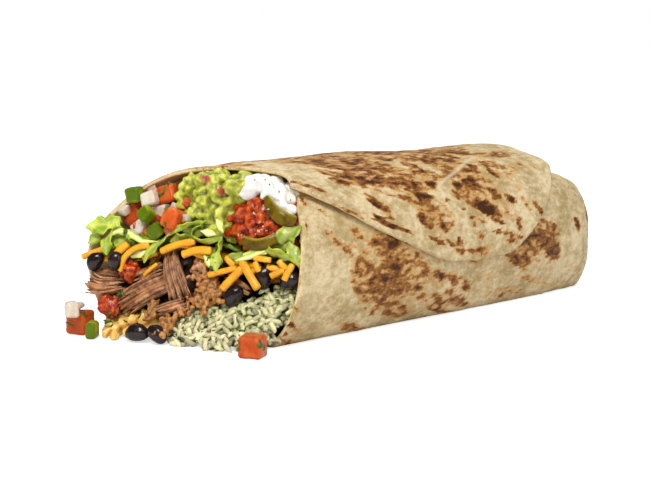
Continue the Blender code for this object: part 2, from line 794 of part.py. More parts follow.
def front_spots(core, count, spacing, rng):
    """Spots spread over the front of a core, as a place and a normal in millimetres."""
    mesh = core.data
    faces = []
    total = 0.0
    for polygon in mesh.polygons:
        if polygon.normal.dot(TO_VIEWER) > 0.1 and polygon.center.x < -0.08:
            total += polygon.area
            faces.append((total, polygon))
    spots = []
    for _ in range(count * 60):
        if len(spots) == count:
            break
        pick = rng.uniform(0, total)
        polygon = next(face for reach, face in faces if reach >= pick)
        a, b, c = (mesh.vertices[i].co for i in polygon.vertices)
        u, v = rng.random(), rng.random()
        if u + v > 1:
            u, v = 1 - u, 1 - v
        place = (a + (b - a) * u + (c - a) * v) / MM
        if all((place - other).length > spacing for other, _ in spots):
            spots.append((place, polygon.normal.copy()))
    return spots


def rice_pieces(core, yard):
    rng = random.Random(3)
    pieces = []
    for place, normal in front_spots(core, GRAIN_COUNT * 2, GRAIN_SPACING, rng):
        if len(pieces) == GRAIN_COUNT:
            break
        for _ in range(6):
            bm = grain_mesh(GRAIN_LENGTH * rng.uniform(0.85, 1.12), GRAIN_RADIUS, 0.35)
            base = normal.to_track_quat("Z", "Y").to_matrix()
            turn = base @ Matrix.Rotation(rng.uniform(0, math.tau), 3, "Z")
            turn = turn @ Matrix.Rotation(rng.uniform(-0.7, 0.7), 3, "Y")
            turned(bm, turn, place + normal * 0.55)
            if yard.clear(bm, skip=(core.name,)):
                pieces.append(bm)
                break
            bm.free()
    return pieces


def bundle(start, end, count, spread, width, rng, lift=1.2):
    """Strands side by side between two places in the mouth."""
    strands = []
    first, last = at_front(*start), at_front(*end)
    side = (last - first).cross(OUTWARDS).normalized()
    for i in range(count):
        shift = side * spread * ((i + 0.5) / count - 0.5) * rng.uniform(0.9, 1.1)
        ends = rng.uniform(-2, 2)
        ahead = (last - first).normalized()
        bow = OUTWARDS * (lift + rng.uniform(-0.4, 0.9))
        points = [first + shift * 0.8 + ahead * ends, first.lerp(last, 0.5) + shift + bow,
                  last + shift * 1.15 + ahead * rng.uniform(-2, 2)]
        strands.append(strip_mesh(points, width * rng.uniform(0.8, 1.2), 2.0,
                                  twist=rng.uniform(-0.4, 0.4)))
    return strands


def beef_pieces(core, yard):
    rng = random.Random(9)
    made = bundle((50, 22, 4), (34, 18, 4), 6, 8.5, 1.7, rng)
    made += bundle((29.5, 12.5, 4), (11, 26, 4), 7, 9.0, 1.7, rng, 2.0)
    made += bundle((12.5, 31.5, 5), (4, 16, 5), 7, 8.5, 1.6, rng, 2.6)
    made += bundle((17, 12.5, 4), (8, 14.5, 4), 3, 4.0, 1.6, rng, 1.5)
    for y, z, count, spread in ((-2, 30, 5, 4.5), (-6, 20, 6, 5.0), (15, 12, 4, 4.0), (1, 7, 4, 3.5),
                                (24, 22, 3, 4.0)):
        for _ in range(count):
            size = [rng.uniform(1.8, 3.0) for _ in range(3)]
            place = at_front(y + rng.uniform(-1, 1) * spread, z + rng.uniform(-1, 1) * spread, 4.6)
            made.append(turned(lump_mesh(size, rng), random_turn(rng), place))
    return [bm for bm in made if kept(bm, core, yard)]


def kept(bm, core, yard):
    """Whether a piece is clear of the other nodes; one that isn't is dropped."""
    turned(bm, Matrix.Identity(3), Vector())
    if yard.clear(bm, skip=(core.name,)):
        return True
    bm.free()
    return False


def hung(points, make, core, yard):
    """Piece from the core to the front, lifted or shortened until it is clear."""
    for short in (1.0, 0.8, 0.62):
        for lift in (0, 1, 2, 3.2, 4.6):
            ends = [p.copy() for p in points]
            for i, p in enumerate(ends):
                share = i / (len(ends) - 1)
                p += OUTWARDS * lift * share
            trimmed = [ends[0].lerp(p, short) for p in ends]
            bm = make(trimmed)
            if kept(bm, core, yard):
                return bm
    return None


def cheddar_pieces(core, yard):
    """Cheddar shreds, from the band of cheese out over the beef and the rice."""
    shreds = ((40, 31, 50, 33), (29, 32, 36, 25), (22, 34, 33, 22), (18, 31, 24, 27),
              (-2, 37, 15, 39), (-8, 34, 3, 38), (-16, 30, -4, 26), (-19, 29, -10, 19),
              (-24, 29, -30, 20), (-34, 29, -38, 28), (-40, 30, -44, 25), (-12, 33, -16, 30),
              (-26, 30, -27, 27), (-30, 30, -36, 31), (10, 37, 20, 36), (30, 31, 20, 33))
    pieces = []
    for y0, z0, y1, z1 in shreds:
        start = at_front(y0, z0, 2.0)
        middle = at_front((y0 + y1) / 2, (z0 + z1) / 2 + 0.6, 0.6)
        end = at_front(y1, z1, 1.0)
        bm = hung([start, middle, end], lambda pts: strip_mesh(pts, 3.0, 2.4, 0.85), core, yard)
        if bm:
            pieces.append(bm)
    return pieces


def lettuce_pieces(core, yard):
    """Lettuce strips and leaves hanging forward from the band of lettuce."""
    leaves = ((44, 38, 50, 45, 8, 1.0), (34, 38, 41, 37, 7, 0.7), (24, 39, 33, 42, 5, 1.2),
              (18, 38, 20, 30, 7, 0.9), (12, 42, 5, 46, 8, 1.4), (2, 43, -6, 39, 7, 1.5),
              (-6, 40, -11, 30, 7, 1.1), (-2, 44, -6, 49, 5, 0.6), (-40, 36, -41, 46, 9, 1.4),
              (-34, 35, -38, 38, 8, 1.2), (-22, 35, -30, 36, 6, 0.8), (-42, 35, -42, 30, 6, 1.0))
    pieces = []
    for i, (y0, z0, y1, z1, width, ruffle) in enumerate(leaves):
        points = [at_front(y0, z0, 4.8), at_front(y1, z1, -0.5)]
        bm = hung(points, lambda pts: leaf_mesh(pts[0], pts[1], width, 2.4, ruffle, i * 1.7),
                  core, yard)
        if bm:
            pieces.append(bm)
    return pieces


def pico_pieces(core, yard):
    """Chopped bits that fill the gaps between the larger dices."""
    rng = random.Random(21)
    pieces = []
    for place, normal in front_spots(core, 12, 4.0, rng):
        bm = dice_mesh([rng.uniform(3.6, 5.4) for _ in range(3)], rng, 0.5)
        turned(bm, random_turn(rng), place + normal * 1.0)
        if yard.clear(bm, skip=(core.name,)):
            pieces.append(bm)
        else:
            bm.free()
    return pieces


def islands(bm):
    """The separate shells of a mesh, each as a list of faces."""
    left = set(bm.faces)
    shells = []
    while left:
        stack = [left.pop()]
        shell = []
        while stack:
            face = stack.pop()
            shell.append(face)
            for edge in face.edges:
                for other in edge.link_faces:
                    if other in left:
                        left.discard(other)
                        stack.append(other)
        shells.append(shell)
    return shells


def fuse(core, pieces, colour, rough):
    """Join the pieces to their core with one union and keep the one solid that comes out."""
    if not pieces:
        return core
    group = bpy.data.collections.new(core.name + "_pieces")
    bpy.context.scene.collection.children.link(group)
    for i, bm in enumerate(pieces):
        piece = add_object(f"{core.name}_piece_{i}", bm, colour, rough)
        bpy.context.scene.collection.objects.unlink(piece)
        group.objects.link(piece)
    union = core.modifiers.new("union", "BOOLEAN")
    union.operation = "UNION"
    union.operand_type = "COLLECTION"
    union.collection = group
    union.solver = "MANIFOLD"
    graph = bpy.context.evaluated_depsgraph_get()
    mesh = bpy.data.meshes.new_from_object(core.evaluated_get(graph))
    core.modifiers.clear()
    for piece in list(group.objects):
        bpy.data.objects.remove(piece, do_unlink=True)
    bpy.data.collections.remove(group)
    bm = bmesh.new()
    bm.from_mesh(mesh)
    bmesh.ops.triangulate(bm, faces=bm.faces[:])
    shells = sorted(islands(bm), key=len)
    for shell in shells[:-1]:
        bmesh.ops.delete(bm, geom=shell, context="FACES")
    bm.to_mesh(core.data)
    bm.free()
    bpy.data.meshes.remove(mesh)
    core.data.materials.clear()
    core.data.materials.append(material(core.name + "_finish", colour, rough))
    return core


def main():
    for made in list(bpy.data.objects):
        bpy.data.objects.remove(made, do_unlink=True)
    yard = Yard()
    tortilla = make_tortilla()
    yard.add(tortilla)
    rice = make_core("rice", RICE_OUTLINE, 4.6, RICE, caps=(0.85, 0.45), dome=1.5)
    beef = make_core("shredded_beef", BEEF_OUTLINE, 6.0, BEEF, caps=(0.6,))
    cheddar = make_core("shredded_cheddar", CHEDDAR_OUTLINE, 2.4, CHEDDAR)
    lettuce = make_core("lettuce", LETTUCE_OUTLINE, 4.2, LETTUCE)
    pico = make_core("pico_de_gallo", PICO_OUTLINE, 12.0, PICO)
    smooth_caps = (0.88, 0.7, 0.48, 0.24)
    cores = [rice, beef, cheddar, lettuce, pico]
    cores.append(make_core("guacamole", GUACAMOLE_OUTLINE, 1.5, GUACAMOLE, 1.6, 5.5, smooth_caps,
                           8.0, 2.0))
    cores.append(make_core("sour_cream", CREAM_OUTLINE, 1.5, CREAM, 0.7, 9.0, smooth_caps[::2],
                           9.0, 2.5))
    cores.append(make_core("salsa", SALSA_OUTLINE, 2.0, SALSA, 1.5, 5.0, smooth_caps, 8.0, 2.5,
                           0.25))
    cores.append(make_core("melted_cheese", MELTED_OUTLINE, 1.0, MELTED, 1.8, 4.5,
                           smooth_caps[::2], 6.0, 1.0))
    for core in cores:
        yard.add(core)
    place_dices(yard)
    place_peppers(yard)
    place_salsa_drops(yard)
    place_beans(yard)
    heaps = ((beef, beef_pieces, BEEF, 0.6), (cheddar, cheddar_pieces, CHEDDAR, 0.4),
             (lettuce, lettuce_pieces, LETTUCE, 0.4), (rice, rice_pieces, RICE, 0.5),
             (pico, pico_pieces, PICO, 0.4))
    for core, make_pieces, colour, rough in heaps:
        pieces = make_pieces(core, yard)
        print(core.name, len(pieces), "pieces")
        fuse(core, pieces, colour, rough)
        yard.add(core)
    count = {o.name: len(o.data.polygons) for o in bpy.data.objects}
    print(count, sum(count.values()))


if __name__ == "__main__":
    main()
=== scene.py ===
"""Looks of a rolled burrito: its toasted tortilla and the fillings that show at its mouth.

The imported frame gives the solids. Here each is dressed, or replaced by a finer piece in the same
place. Lengths are in millimetres until a mesh is finished, which is in metres. The roll lies along
X with its mouth at -X and its near side at -Y. Angles run round it in degrees: 0 at the near side,
90 at the top, 180 at the far side and 270 at the underside.
"""
from __future__ import annotations

import logging
import math
import random
from abc import ABC, abstractmethod
from dataclasses import dataclass
from enum import Enum
from typing import Callable, Iterable, Sequence

import bmesh
import bpy
import numpy as np
from mathutils import Matrix, Vector, noise
from mathutils.bvhtree import BVHTree


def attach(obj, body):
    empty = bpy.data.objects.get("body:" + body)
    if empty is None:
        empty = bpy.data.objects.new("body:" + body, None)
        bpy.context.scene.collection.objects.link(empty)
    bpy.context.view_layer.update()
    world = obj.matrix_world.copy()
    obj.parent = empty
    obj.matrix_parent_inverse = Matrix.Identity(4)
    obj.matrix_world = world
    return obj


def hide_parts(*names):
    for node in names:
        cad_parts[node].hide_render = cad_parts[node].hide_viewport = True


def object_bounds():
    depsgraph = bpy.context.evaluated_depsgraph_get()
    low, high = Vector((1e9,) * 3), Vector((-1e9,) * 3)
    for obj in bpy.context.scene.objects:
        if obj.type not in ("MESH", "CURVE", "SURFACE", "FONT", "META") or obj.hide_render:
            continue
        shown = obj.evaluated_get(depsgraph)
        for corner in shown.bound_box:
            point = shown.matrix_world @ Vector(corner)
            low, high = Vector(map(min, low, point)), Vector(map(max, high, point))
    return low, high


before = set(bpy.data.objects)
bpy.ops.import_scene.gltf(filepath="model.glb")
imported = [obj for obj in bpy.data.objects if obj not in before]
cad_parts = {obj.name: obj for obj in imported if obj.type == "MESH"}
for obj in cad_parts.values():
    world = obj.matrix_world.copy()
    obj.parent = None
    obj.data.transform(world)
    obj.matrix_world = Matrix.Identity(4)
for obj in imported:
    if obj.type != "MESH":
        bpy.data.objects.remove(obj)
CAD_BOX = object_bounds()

LOG = logging.getLogger("burrito")
MM = 0.001
MM_PER_DEGREE = 0.8
FLOOR_GAP = 0.05
FRONT_X = -72.0
OUTWARDS = Vector((-0.94, -0.30, 0.16))
TO_VIEWER = Vector((-0.74, -0.66, 0.12)).normalized()
Shape = bmesh.types.BMesh
Object = bpy.types.Object
Socket = bpy.types.NodeSocket
Pair = tuple[float, float]
Triple = tuple[float, float, float]
Colour = Triple
Spot = Triple
Row = tuple[float, ...]


# Numbers

def clamp(value: float, low: float = 0.0, high: float = 1.0) -> float:
    """Value held between two limits."""
    return max(low, min(high, value))


def mix(a: float, b: float, t: float) -> float:
    """Number part of the way from a to b."""
    return a + (b - a) * t


def smooth(t: float) -> float:
    """Soft step from 0 to 1."""
    t = clamp(t)
    return t * t * (3 - 2 * t)


def signed_power(value: float, power: float) -> float:
    """Power of a number's size, with its sign kept."""
    return math.copysign(abs(value) ** power, value)


def ripple(point: Vector, size: float, octaves: int = 2, seed: float = 0.0) -> float:
    """Noise from about -1 to 1 whose features are about size across.

    Args:
        point: Place in millimetres.
        size: Size of the largest features in millimetres.
        octaves: How many finer layers are added.
        seed: Shifts the pattern.

    Returns:
        The sum of the layers.
    """
    total, share = 0.0, 1.0
    for octave in range(octaves):
        place = point * (2 ** octave / size) + Vector((seed, seed * 1.7, 3.1 * octave))
        total += share * noise.noise(place)
        share *= 0.5
    return total


# The roll's form, as the frame has it

@dataclass(frozen=True)
class Roll:
    """Sizes and section of the rolled tortilla, in millimetres and degrees."""

    half_width: float = 48.4
    mouth_flare: float = 1.8
    top_at_mouth: float = 68.0
    top_at_end: float = 71.7
    power: float = 2.4
    foot_share: float = 0.13
    mouth_x: float = -121.0
    widest_x: float = 19.0
    highest_x: float = 92.0
    last_ring_x: float = 141.0
    tip_x: float = 144.0
    wall: float = 2.2
    wave_size: float = 0.5
    mouth: tuple[Pair, ...] = (
        (0, -94), (35, -86), (62, -75), (85, -84), (105, -93), (145, -111), (180, -122),
        (220, -119), (260, -112), (300, -100), (330, -97), (360, -94))
    flap_end_x: float = 101.0
    flap_wall: float = 2.0
    flap_gap: float = 0.9
    tip: Pair = (25.0, -4.0)
    corner: Pair = (-84.6, 51.5)
    end_angle: float = 48.5
    corner_lift: float = 1.8
    overhang: float = 13.0
    recess: float = 3.0

    def width_at(self, x: float) -> float:
        """Half the roll's width at a place along it."""
        taper = clamp((x - self.widest_x) / (self.tip_x - self.widest_x), 0, 0.985)
        flare = self.mouth_flare * clamp((-56 - x) / 65)
        return self.half_width * (1 - taper ** 4) ** 0.2 + flare

    def top_at(self, x: float) -> float:
        """Height of the roll at a place along it."""
        share = clamp((x - self.mouth_x) / (self.highest_x - self.mouth_x))
        taper = clamp((x - self.highest_x) / (self.tip_x - self.highest_x), 0, 0.965)
        return mix(self.top_at_mouth, self.top_at_end, share) * (1 - taper ** 1.2) ** (1 / 6.5)

    def section(self, x: float, angle: float, grow: float = 0.0, floor: float = 0.0) -> Vector:
        """Point on the roll's section.

        Args:
            x: Place along the roll.
            angle: Place round the roll.
            grow: How far outside the plain section the point is.
            floor: The least height of the point.

        Returns:
            The point in millimetres.
        """
        a = math.radians(angle)
        half_height = (self.top_at(x) + 2 * grow) / (1 - self.foot_share) / 2
        middle = self.top_at(x) + grow - half_height
        y = -(self.width_at(x) + grow) * signed_power(math.cos(a), 2 / self.power)
        z = middle + half_height * signed_power(math.sin(a), 2 / self.power)
        return Vector((x, y, max(z, floor)))

    def wave(self, x: float, angle: float) -> float:
        """Broad unevenness of the tortilla."""
        a = math.radians(angle)
        return self.wave_size * noise.noise(Vector((x / 26, 2.2 * math.cos(a), 2.2 * math.sin(a))))

    def mouth_edge(self, angle: float) -> float:
        """Place along X of the mouth's edge at an angle."""
        angle %= 360
        knots = self.mouth[:-1]
        count = len(knots)
        i = max(k for k in range(count) if knots[k][0] <= angle)
        around = [(knots[k % count][0] + 360 * (k // count), knots[k % count][1])
                  for k in (i - 1, i, i + 1, i + 2)]
        (a0, x0), (a1, x1), (a2, x2), (a3, x3) = around
        t = (angle - a1) / (a2 - a1)
        slope1 = (x2 - x0) / (a2 - a0) * (a2 - a1)
        slope2 = (x3 - x1) / (a3 - a1) * (a2 - a1)
        return ((2 * t ** 3 - 3 * t ** 2 + 1) * x1 + (t ** 3 - 2 * t ** 2 + t) * slope1
                + (3 * t ** 2 - 2 * t ** 3) * x2 + (t ** 3 - t ** 2) * slope2)

    def roll_mouth(self, angle: float) -> float:
        """Place along X of the roll's own edge, set back under the flap and at the spill."""
        under = smooth((angle - 50) / 14) * smooth((140 - angle) / 24)
        spill = smooth((angle - 176) / 14) * smooth((266 - angle) / 24)
        return self.mouth_edge(angle) + self.overhang * under + self.recess * spill

    def flap_mouth(self, angle: float) -> float:
        """Place along X of the flap's end at the mouth."""
        reach = self.mouth_edge(self.corner[1]) - self.corner[0]
        return self.mouth_edge(angle) - reach * smooth((78 - angle) / 26)

    def flap_edge(self, x: float) -> float:
        """Angle of the flap's free edge at a place along the roll."""
        if x < self.tip[0]:
            share = (self.tip[0] - x) / (self.tip[0] - self.corner[0])
            return mix(self.tip[1], self.corner[1], min(share, 1.0) ** 2.1)
        share = (x - self.tip[0]) / (self.flap_end_x - self.tip[0])
        return mix(self.tip[1], self.end_angle, min(share, 1.0) ** 3)

    def flap_lift(self, x: float, angle: float) -> float:
        """How far the flap's corner at the mouth curls up."""
        return self.corner_lift * smooth((-38 - x) / 46) * smooth((80 - angle) / 28)


ROLL = Roll()


@dataclass(frozen=True)
class View:
    """The photo's view: its camera in millimetres and degrees, and the picture in pixels."""

    turn: float = -48.4
    pitch: float = 6.83
    place: Triple = (-576.7, -490.5, 121.9)
    lens: float = 91.38
    film: float = 36.0
    width: int = 650
    height: int = 485

    def axes(self) -> tuple[Vector, Vector, Vector]:
        """The camera's right, up and forward directions."""
        a, p = math.radians(self.turn), math.radians(self.pitch)
        right = Vector((math.cos(a), math.sin(a), 0))
        ahead = Vector((-math.sin(a) * math.cos(p), math.cos(a) * math.cos(p), -math.sin(p)))
        return right, right.cross(ahead), ahead

    def pixel(self, point: Vector) -> Pair:
        """Where a point shows in the photo."""
        right, up, ahead = self.axes()
        way = point - Vector(self.place)
        scale = self.lens / self.film * self.width / way.dot(ahead)
        return self.width / 2 + scale * way.dot(right), self.height / 2 - scale * way.dot(up)


@dataclass(frozen=True)
class Crop:
    """An enlarged part of the photo, in which places were read off."""

    left: float
    top: float
    zoom: float

    def pixel(self, x: float, y: float) -> np.ndarray:
        """A place of the crop, in the photo's own pixels."""
        return np.array((self.left + x / self.zoom, self.top + y / self.zoom))


VIEW = View()
CLOSE = Crop(340, 135, 6.0)
WIDE = Crop(260, 130, 2.294)


def front(y: float, z: float) -> float:
    """Place along X of the fillings' front at a place in the mouth."""
    x = -105 - 0.28 * y + 0.36 * max(z - 37, 0)
    x -= (25 - 0.27 * y) * (max(30 - z, 0) / 30) ** 2
    return x + 0.02 * max(-30 - y, 0) ** 2 * clamp(z / 20)


def at_front(y: float, z: float, out: float = 0.0) -> Vector:
    """Point in the mouth, some way out from the fillings' front."""
    return Vector((front(y, z), y, z)) + OUTWARDS * out


# Mesh helpers

def transformed(bm: Shape, turn: Matrix, place: Vector) -> Shape:
    """Shape turned about the origin and moved to a place."""
    matrix = Matrix.Translation(place) @ turn.to_4x4()
    bmesh.ops.transform(bm, matrix=matrix, verts=bm.verts[:])
    return bm


def random_turn(rng: random.Random) -> Matrix:
    """Turn about any axis."""
    axis = Vector((rng.gauss(0, 1), rng.gauss(0, 1), rng.gauss(0, 1))).normalized()
    return Matrix.Rotation(rng.uniform(0, math.tau), 3, axis)


def facing_turn(normal: Vector, spin: float) -> Matrix:
    """Turn that takes +Z to a normal, after a spin about Z."""
    return normal.to_track_quat("Z", "Y").to_matrix() @ Matrix.Rotation(spin, 3, "Z")


def copy_of(node: str) -> Shape:
    """A node's solid as one welded shape in millimetres."""
    bm = bmesh.new()
    bm.from_mesh(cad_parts[node].data)
    bmesh.ops.remove_doubles(bm, verts=bm.verts[:], dist=1e-6)
    bmesh.ops.scale(bm, vec=(1 / MM,) * 3, verts=bm.verts[:])
    return bm


def cut(bm: Shape, x: float, keep_front: bool) -> Shape:
    """Part of a closed shape on one side of a plane across X, closed again."""
    geometry = bm.verts[:] + bm.edges[:] + bm.faces[:]
    bmesh.ops.bisect_plane(bm, geom=geometry, plane_co=(x, 0, 0), plane_no=(1, 0, 0),
                           clear_outer=keep_front, clear_inner=not keep_front)
    bmesh.ops.holes_fill(bm, edges=[e for e in bm.edges if e.is_boundary], sides=0)
    return bm


def evaluated(bm: Shape, add: Callable[[Object], None]) -> Shape:
    """Shape with modifiers applied.

    Args:
        bm: The shape, which is freed.
        add: Adds the modifiers to the object that it is given.

    Returns:
        The new shape.
    """
    mesh = bpy.data.meshes.new("work")
    bm.to_mesh(mesh)
    bm.free()
    work = bpy.data.objects.new("work", mesh)
    bpy.context.scene.collection.objects.link(work)
    add(work)
    graph = bpy.context.evaluated_depsgraph_get()
    result = bmesh.new()
    result.from_mesh(work.evaluated_get(graph).to_mesh())
    work.evaluated_get(graph).to_mesh_clear()
    bpy.data.objects.remove(work, do_unlink=True)
    bpy.data.meshes.remove(mesh)
    return result


def remeshed(bm: Shape, voxel: float, rounds: int = 1) -> Shape:
    """Shape rebuilt as one even skin.

    Args:
        bm: The shape, which may be several overlapping ones; it is freed.
        voxel: Size of the new faces in millimetres.
        rounds: How many times the skin is smoothed.

    Returns:
        The new shape.
    """
    def add(work: Object) -> None:
        """Add the remesh."""
        remesh = work.modifiers.new("skin", "REMESH")
        remesh.mode = "VOXEL"
        remesh.voxel_size = voxel

    result = evaluated(bm, add)
    for _ in range(rounds):
        bmesh.ops.smooth_vert(result, verts=result.verts[:], factor=0.5, use_axis_x=True,
                              use_axis_y=True, use_axis_z=True)
    return result


def subdivided(bm: Shape, levels: int) -> Shape:
    """Shape with a subdivision surface applied."""
    def add(work: Object) -> None:
        """Add the subdivision."""
        surface = work.modifiers.new("surface", "SUBSURF")
        surface.levels = surface.render_levels = levels

    return evaluated(bm, add)


def roughened(bm: Shape, height: Callable[[Vector], float]) -> Shape:
    """Shape with each point moved along its normal by a height."""
    bm.normal_update()
    moves = [(vert, vert.normal * height(vert.co)) for vert in bm.verts]
    for vert, move in moves:
        vert.co += move
    return bm


def painted_crevice_shade(bm: Shape, base: float = 0.6, gain: float = 1.3,
             rounds: int = 8) -> np.ndarray:
    """Painted shade of each point, darker the deeper it lies between its neighbours.

    Args:
        bm: The surface.
        base: Shade of a flat place.
        gain: How much darker a place is for each millimetre of depth.
        rounds: How wide the neighbourhood is.

    Returns:
        One shade for each point.
    """
    bm.normal_update()
    bm.verts.index_update()
    places = np.array([v.co for v in bm.verts])
    normals = np.array([v.normal for v in bm.verts])
    ends = np.array([[v.index for v in edge.verts] for edge in bm.edges])
    starts, stops = ends.T.ravel(), ends[:, ::-1].T.ravel()
    degree = np.maximum(np.bincount(starts, minlength=len(places)), 1)
    soft = places
    for _ in range(rounds):
        soft = np.stack([np.bincount(starts, soft[stops, k], len(places)) / degree
                         for k in range(3)], 1)
    depth = ((soft - places) * normals).sum(1)
    return np.clip(base - gain * depth, 0.0, 1.0)


def curve(points: Sequence[Vector], count: int) -> list[Vector]:
    """Places along a smooth curve through some points."""
    ends = [2 * points[0] - points[1], *points, 2 * points[-1] - points[-2]]
    made = []
    for k in range(count + 1):
        t = k / count * (len(points) - 1)
        i = min(int(t), len(points) - 2)
        t -= i
        a, b, c, d = ends[i:i + 4]
        made.append(0.5 * (2 * b + (c - a) * t + (2 * a - 5 * b + 4 * c - d) * t * t
                           + (3 * b - a - 3 * c + d) * t ** 3))
    return made


def spots_on(bm: Shape, count: int, spacing: float, rng: random.Random,
             wanted: Callable[[Vector, Vector], bool]) -> list[tuple[Vector, Vector]]:
    """Spots spread over a surface.

    Args:
        bm: The surface.
        count: The most spots.
        spacing: The least distance between two spots.
        rng: Random numbers.
        wanted: Whether a place with a normal may have a spot.

    Returns:
        The spots, each as a place and a normal.
    """
    bm.normal_update()
    faces = [f for f in bm.faces if wanted(f.calc_center_median(), f.normal)]
    if not faces:
        return []
    reach = np.cumsum([f.calc_area() for f in faces])
    spots: list[tuple[Vector, Vector]] = []
    cells: dict[tuple[int, ...], list[Vector]] = {}
    for _ in range(count * 30):
        if len(spots) >= count:
            break
        face = faces[int(np.searchsorted(reach, rng.uniform(0, reach[-1])))]
        shares = [rng.random() + 0.02 for _ in face.verts]
        place = sum((v.co * s for v, s in zip(face.verts, shares)), Vector()) / sum(shares)
        cell = tuple(int(c // spacing) for c in place)
        near = (other for i in (-1, 0, 1) for j in (-1, 0, 1) for k in (-1, 0, 1)
                for other in cells.get((cell[0] + i, cell[1] + j, cell[2] + k), ()))
        if all((place - other).length > spacing for other in near):
            cells.setdefault(cell, []).append(place)
            spots.append((place, face.normal.copy()))
    return spots


def faces_out(place: Vector, normal: Vector) -> bool:
    """Whether a place on a filling is part of its front."""
    return place.x < FRONT_X and normal.dot(OUTWARDS) > 0.15


def placed(mesh: bpy.types.Mesh) -> Object:
    """A smooth shaded object of a finished mesh, under the mesh's name."""
    mesh.polygons.foreach_set("use_smooth", [True] * len(mesh.polygons))
    piece = bpy.data.objects.new(mesh.name, mesh)
    bpy.context.scene.collection.objects.link(piece)
    return piece


class Heap:
    """Closed shapes gathered into one mesh, each with its own shade and tint."""

    def __init__(self) -> None:
        """Start with nothing."""
        self.bm = bmesh.new()
        self.scratch = bpy.data.meshes.new("scratch")
        self.shades: list[np.ndarray] = []
        self.tints: list[np.ndarray] = []

    def add(self, shape: Shape, shade: float | Sequence[float] = 0.5,
            tint: float | Sequence[float] = 0.0) -> None:
        """Add a shape and free it.

        Args:
            shape: The shape in millimetres.
            shade: Lightness from 0 to 1, for the whole shape or for each point; it carries random tone,
                and painted shade where a caller darkens crevices, cores or lower layers.
            tint: Share of the second colour, given in the same way.
        """
        count = len(shape.verts)
        near, far = CAD_BOX[0][1] / MM, CAD_BOX[1][1] / MM
        for vert in shape.verts:
            vert.co.y = clamp(vert.co.y, near, far)
            vert.co.z = max(vert.co.z, FLOOR_GAP)
        shape.to_mesh(self.scratch)
        self.bm.from_mesh(self.scratch)
        for values, value in ((self.shades, shade), (self.tints, tint)):
            values.append(np.broadcast_to(np.asarray(value, np.float32), (count,)).copy())
        shape.free()

    def finish(self, name: str) -> Object:
        """Make the object, in metres, under a name."""
        mesh = bpy.data.meshes.new(name)
        bmesh.ops.scale(self.bm, vec=(MM, MM, MM), verts=self.bm.verts[:])
        self.bm.to_mesh(mesh)
        self.bm.free()
        bpy.data.meshes.remove(self.scratch)
        for label, values in (("shade", self.shades), ("tint", self.tints)):
            layer = mesh.attributes.new(label, "FLOAT", "POINT")
            layer.data.foreach_set("value", np.concatenate(values))
        return placed(mesh)


# Small shapes, each made at the origin

def blob(size: Sequence[float], rng: random.Random, rough: float = 0.2,
         cuts: int = 2) -> Shape:
    """Uneven rounded lump."""
    bm = bmesh.new()
    bmesh.ops.create_icosphere(bm, subdivisions=cuts, radius=1.0)
    shift = Vector((rng.uniform(0, 99), rng.uniform(0, 99), 0))
    for vert in bm.verts:
        bump = 1 + rough * 2 * noise.noise(vert.co * 1.6 + shift)
        vert.co = Vector(c * s for c, s in zip(vert.co, size)) * bump
    return bm


def chunk(size: Sequence[float], rng: random.Random, soft: float = 0.16,
          cuts: int = 1) -> Shape:
    """Cut piece of food: an uneven box with rounded edges."""
    bm = bmesh.new()
    bmesh.ops.create_cube(bm, size=1.0)
    for vert in bm.verts:
        vert.co = Vector(c * s * rng.uniform(0.86, 1.1) for c, s in zip(vert.co, size))
    bmesh.ops.bevel(bm, geom=bm.edges[:], offset=min(size) * soft, segments=2, profile=0.5,
                    affect="EDGES", material=-1)
    if cuts:
        bmesh.ops.subdivide_edges(bm, edges=bm.edges[:], cuts=cuts, use_grid_fill=True)
    return bm


def tube(points: Sequence[Vector], radii: Sequence[float], sides: int = 6,
         flatness: float = 1.0, side: Vector | None = None,
         square: float = 2.0) -> Shape:
    """Closed tube along some points.

    Args:
        points: The middle line.
        radii: The radius at each point.
        sides: How many sides the tube has.
        flatness: Thickness across the side direction, as a share of the width.
        side: Direction of the tube's width.
        square: Power of its section, 2 for round and more for squarer.

    Returns:
        The shape, extruded ring by ring.
    """
    bm = bmesh.new()
    ring = bmesh.ops.create_circle(bm, cap_ends=True, segments=sides, radius=1.0)["verts"]
    face = bm.faces[:][0]
    last = len(points) - 1
    flat = side or Vector((0.2, 0.4, 0.9))

    def lay(verts: Iterable[bmesh.types.BMVert], i: int) -> None:
        """Put a ring of points round the middle line."""
        ahead = (points[min(i + 1, last)] - points[max(i - 1, 0)]).normalized()
        wide = (flat - ahead * flat.dot(ahead)).normalized()
        thick = ahead.cross(wide) * flatness
        for k, vert in enumerate(verts):
            a = math.tau * (k + 0.5) / sides
            c, s = math.cos(a), math.sin(a)
            reach = radii[i] * (abs(c) ** square + abs(s) ** square) ** (-1 / square)
            vert.co = points[i] + (wide * c + thick * s) * reach

    lay(ring, 0)
    for i in range(1, last + 1):
        face = bmesh.ops.extrude_discrete_faces(bm, faces=[face])["faces"][0]
        lay(list(face.verts), i)
    bmesh.ops.recalc_face_normals(bm, faces=bm.faces[:])
    return bm


# Finishes

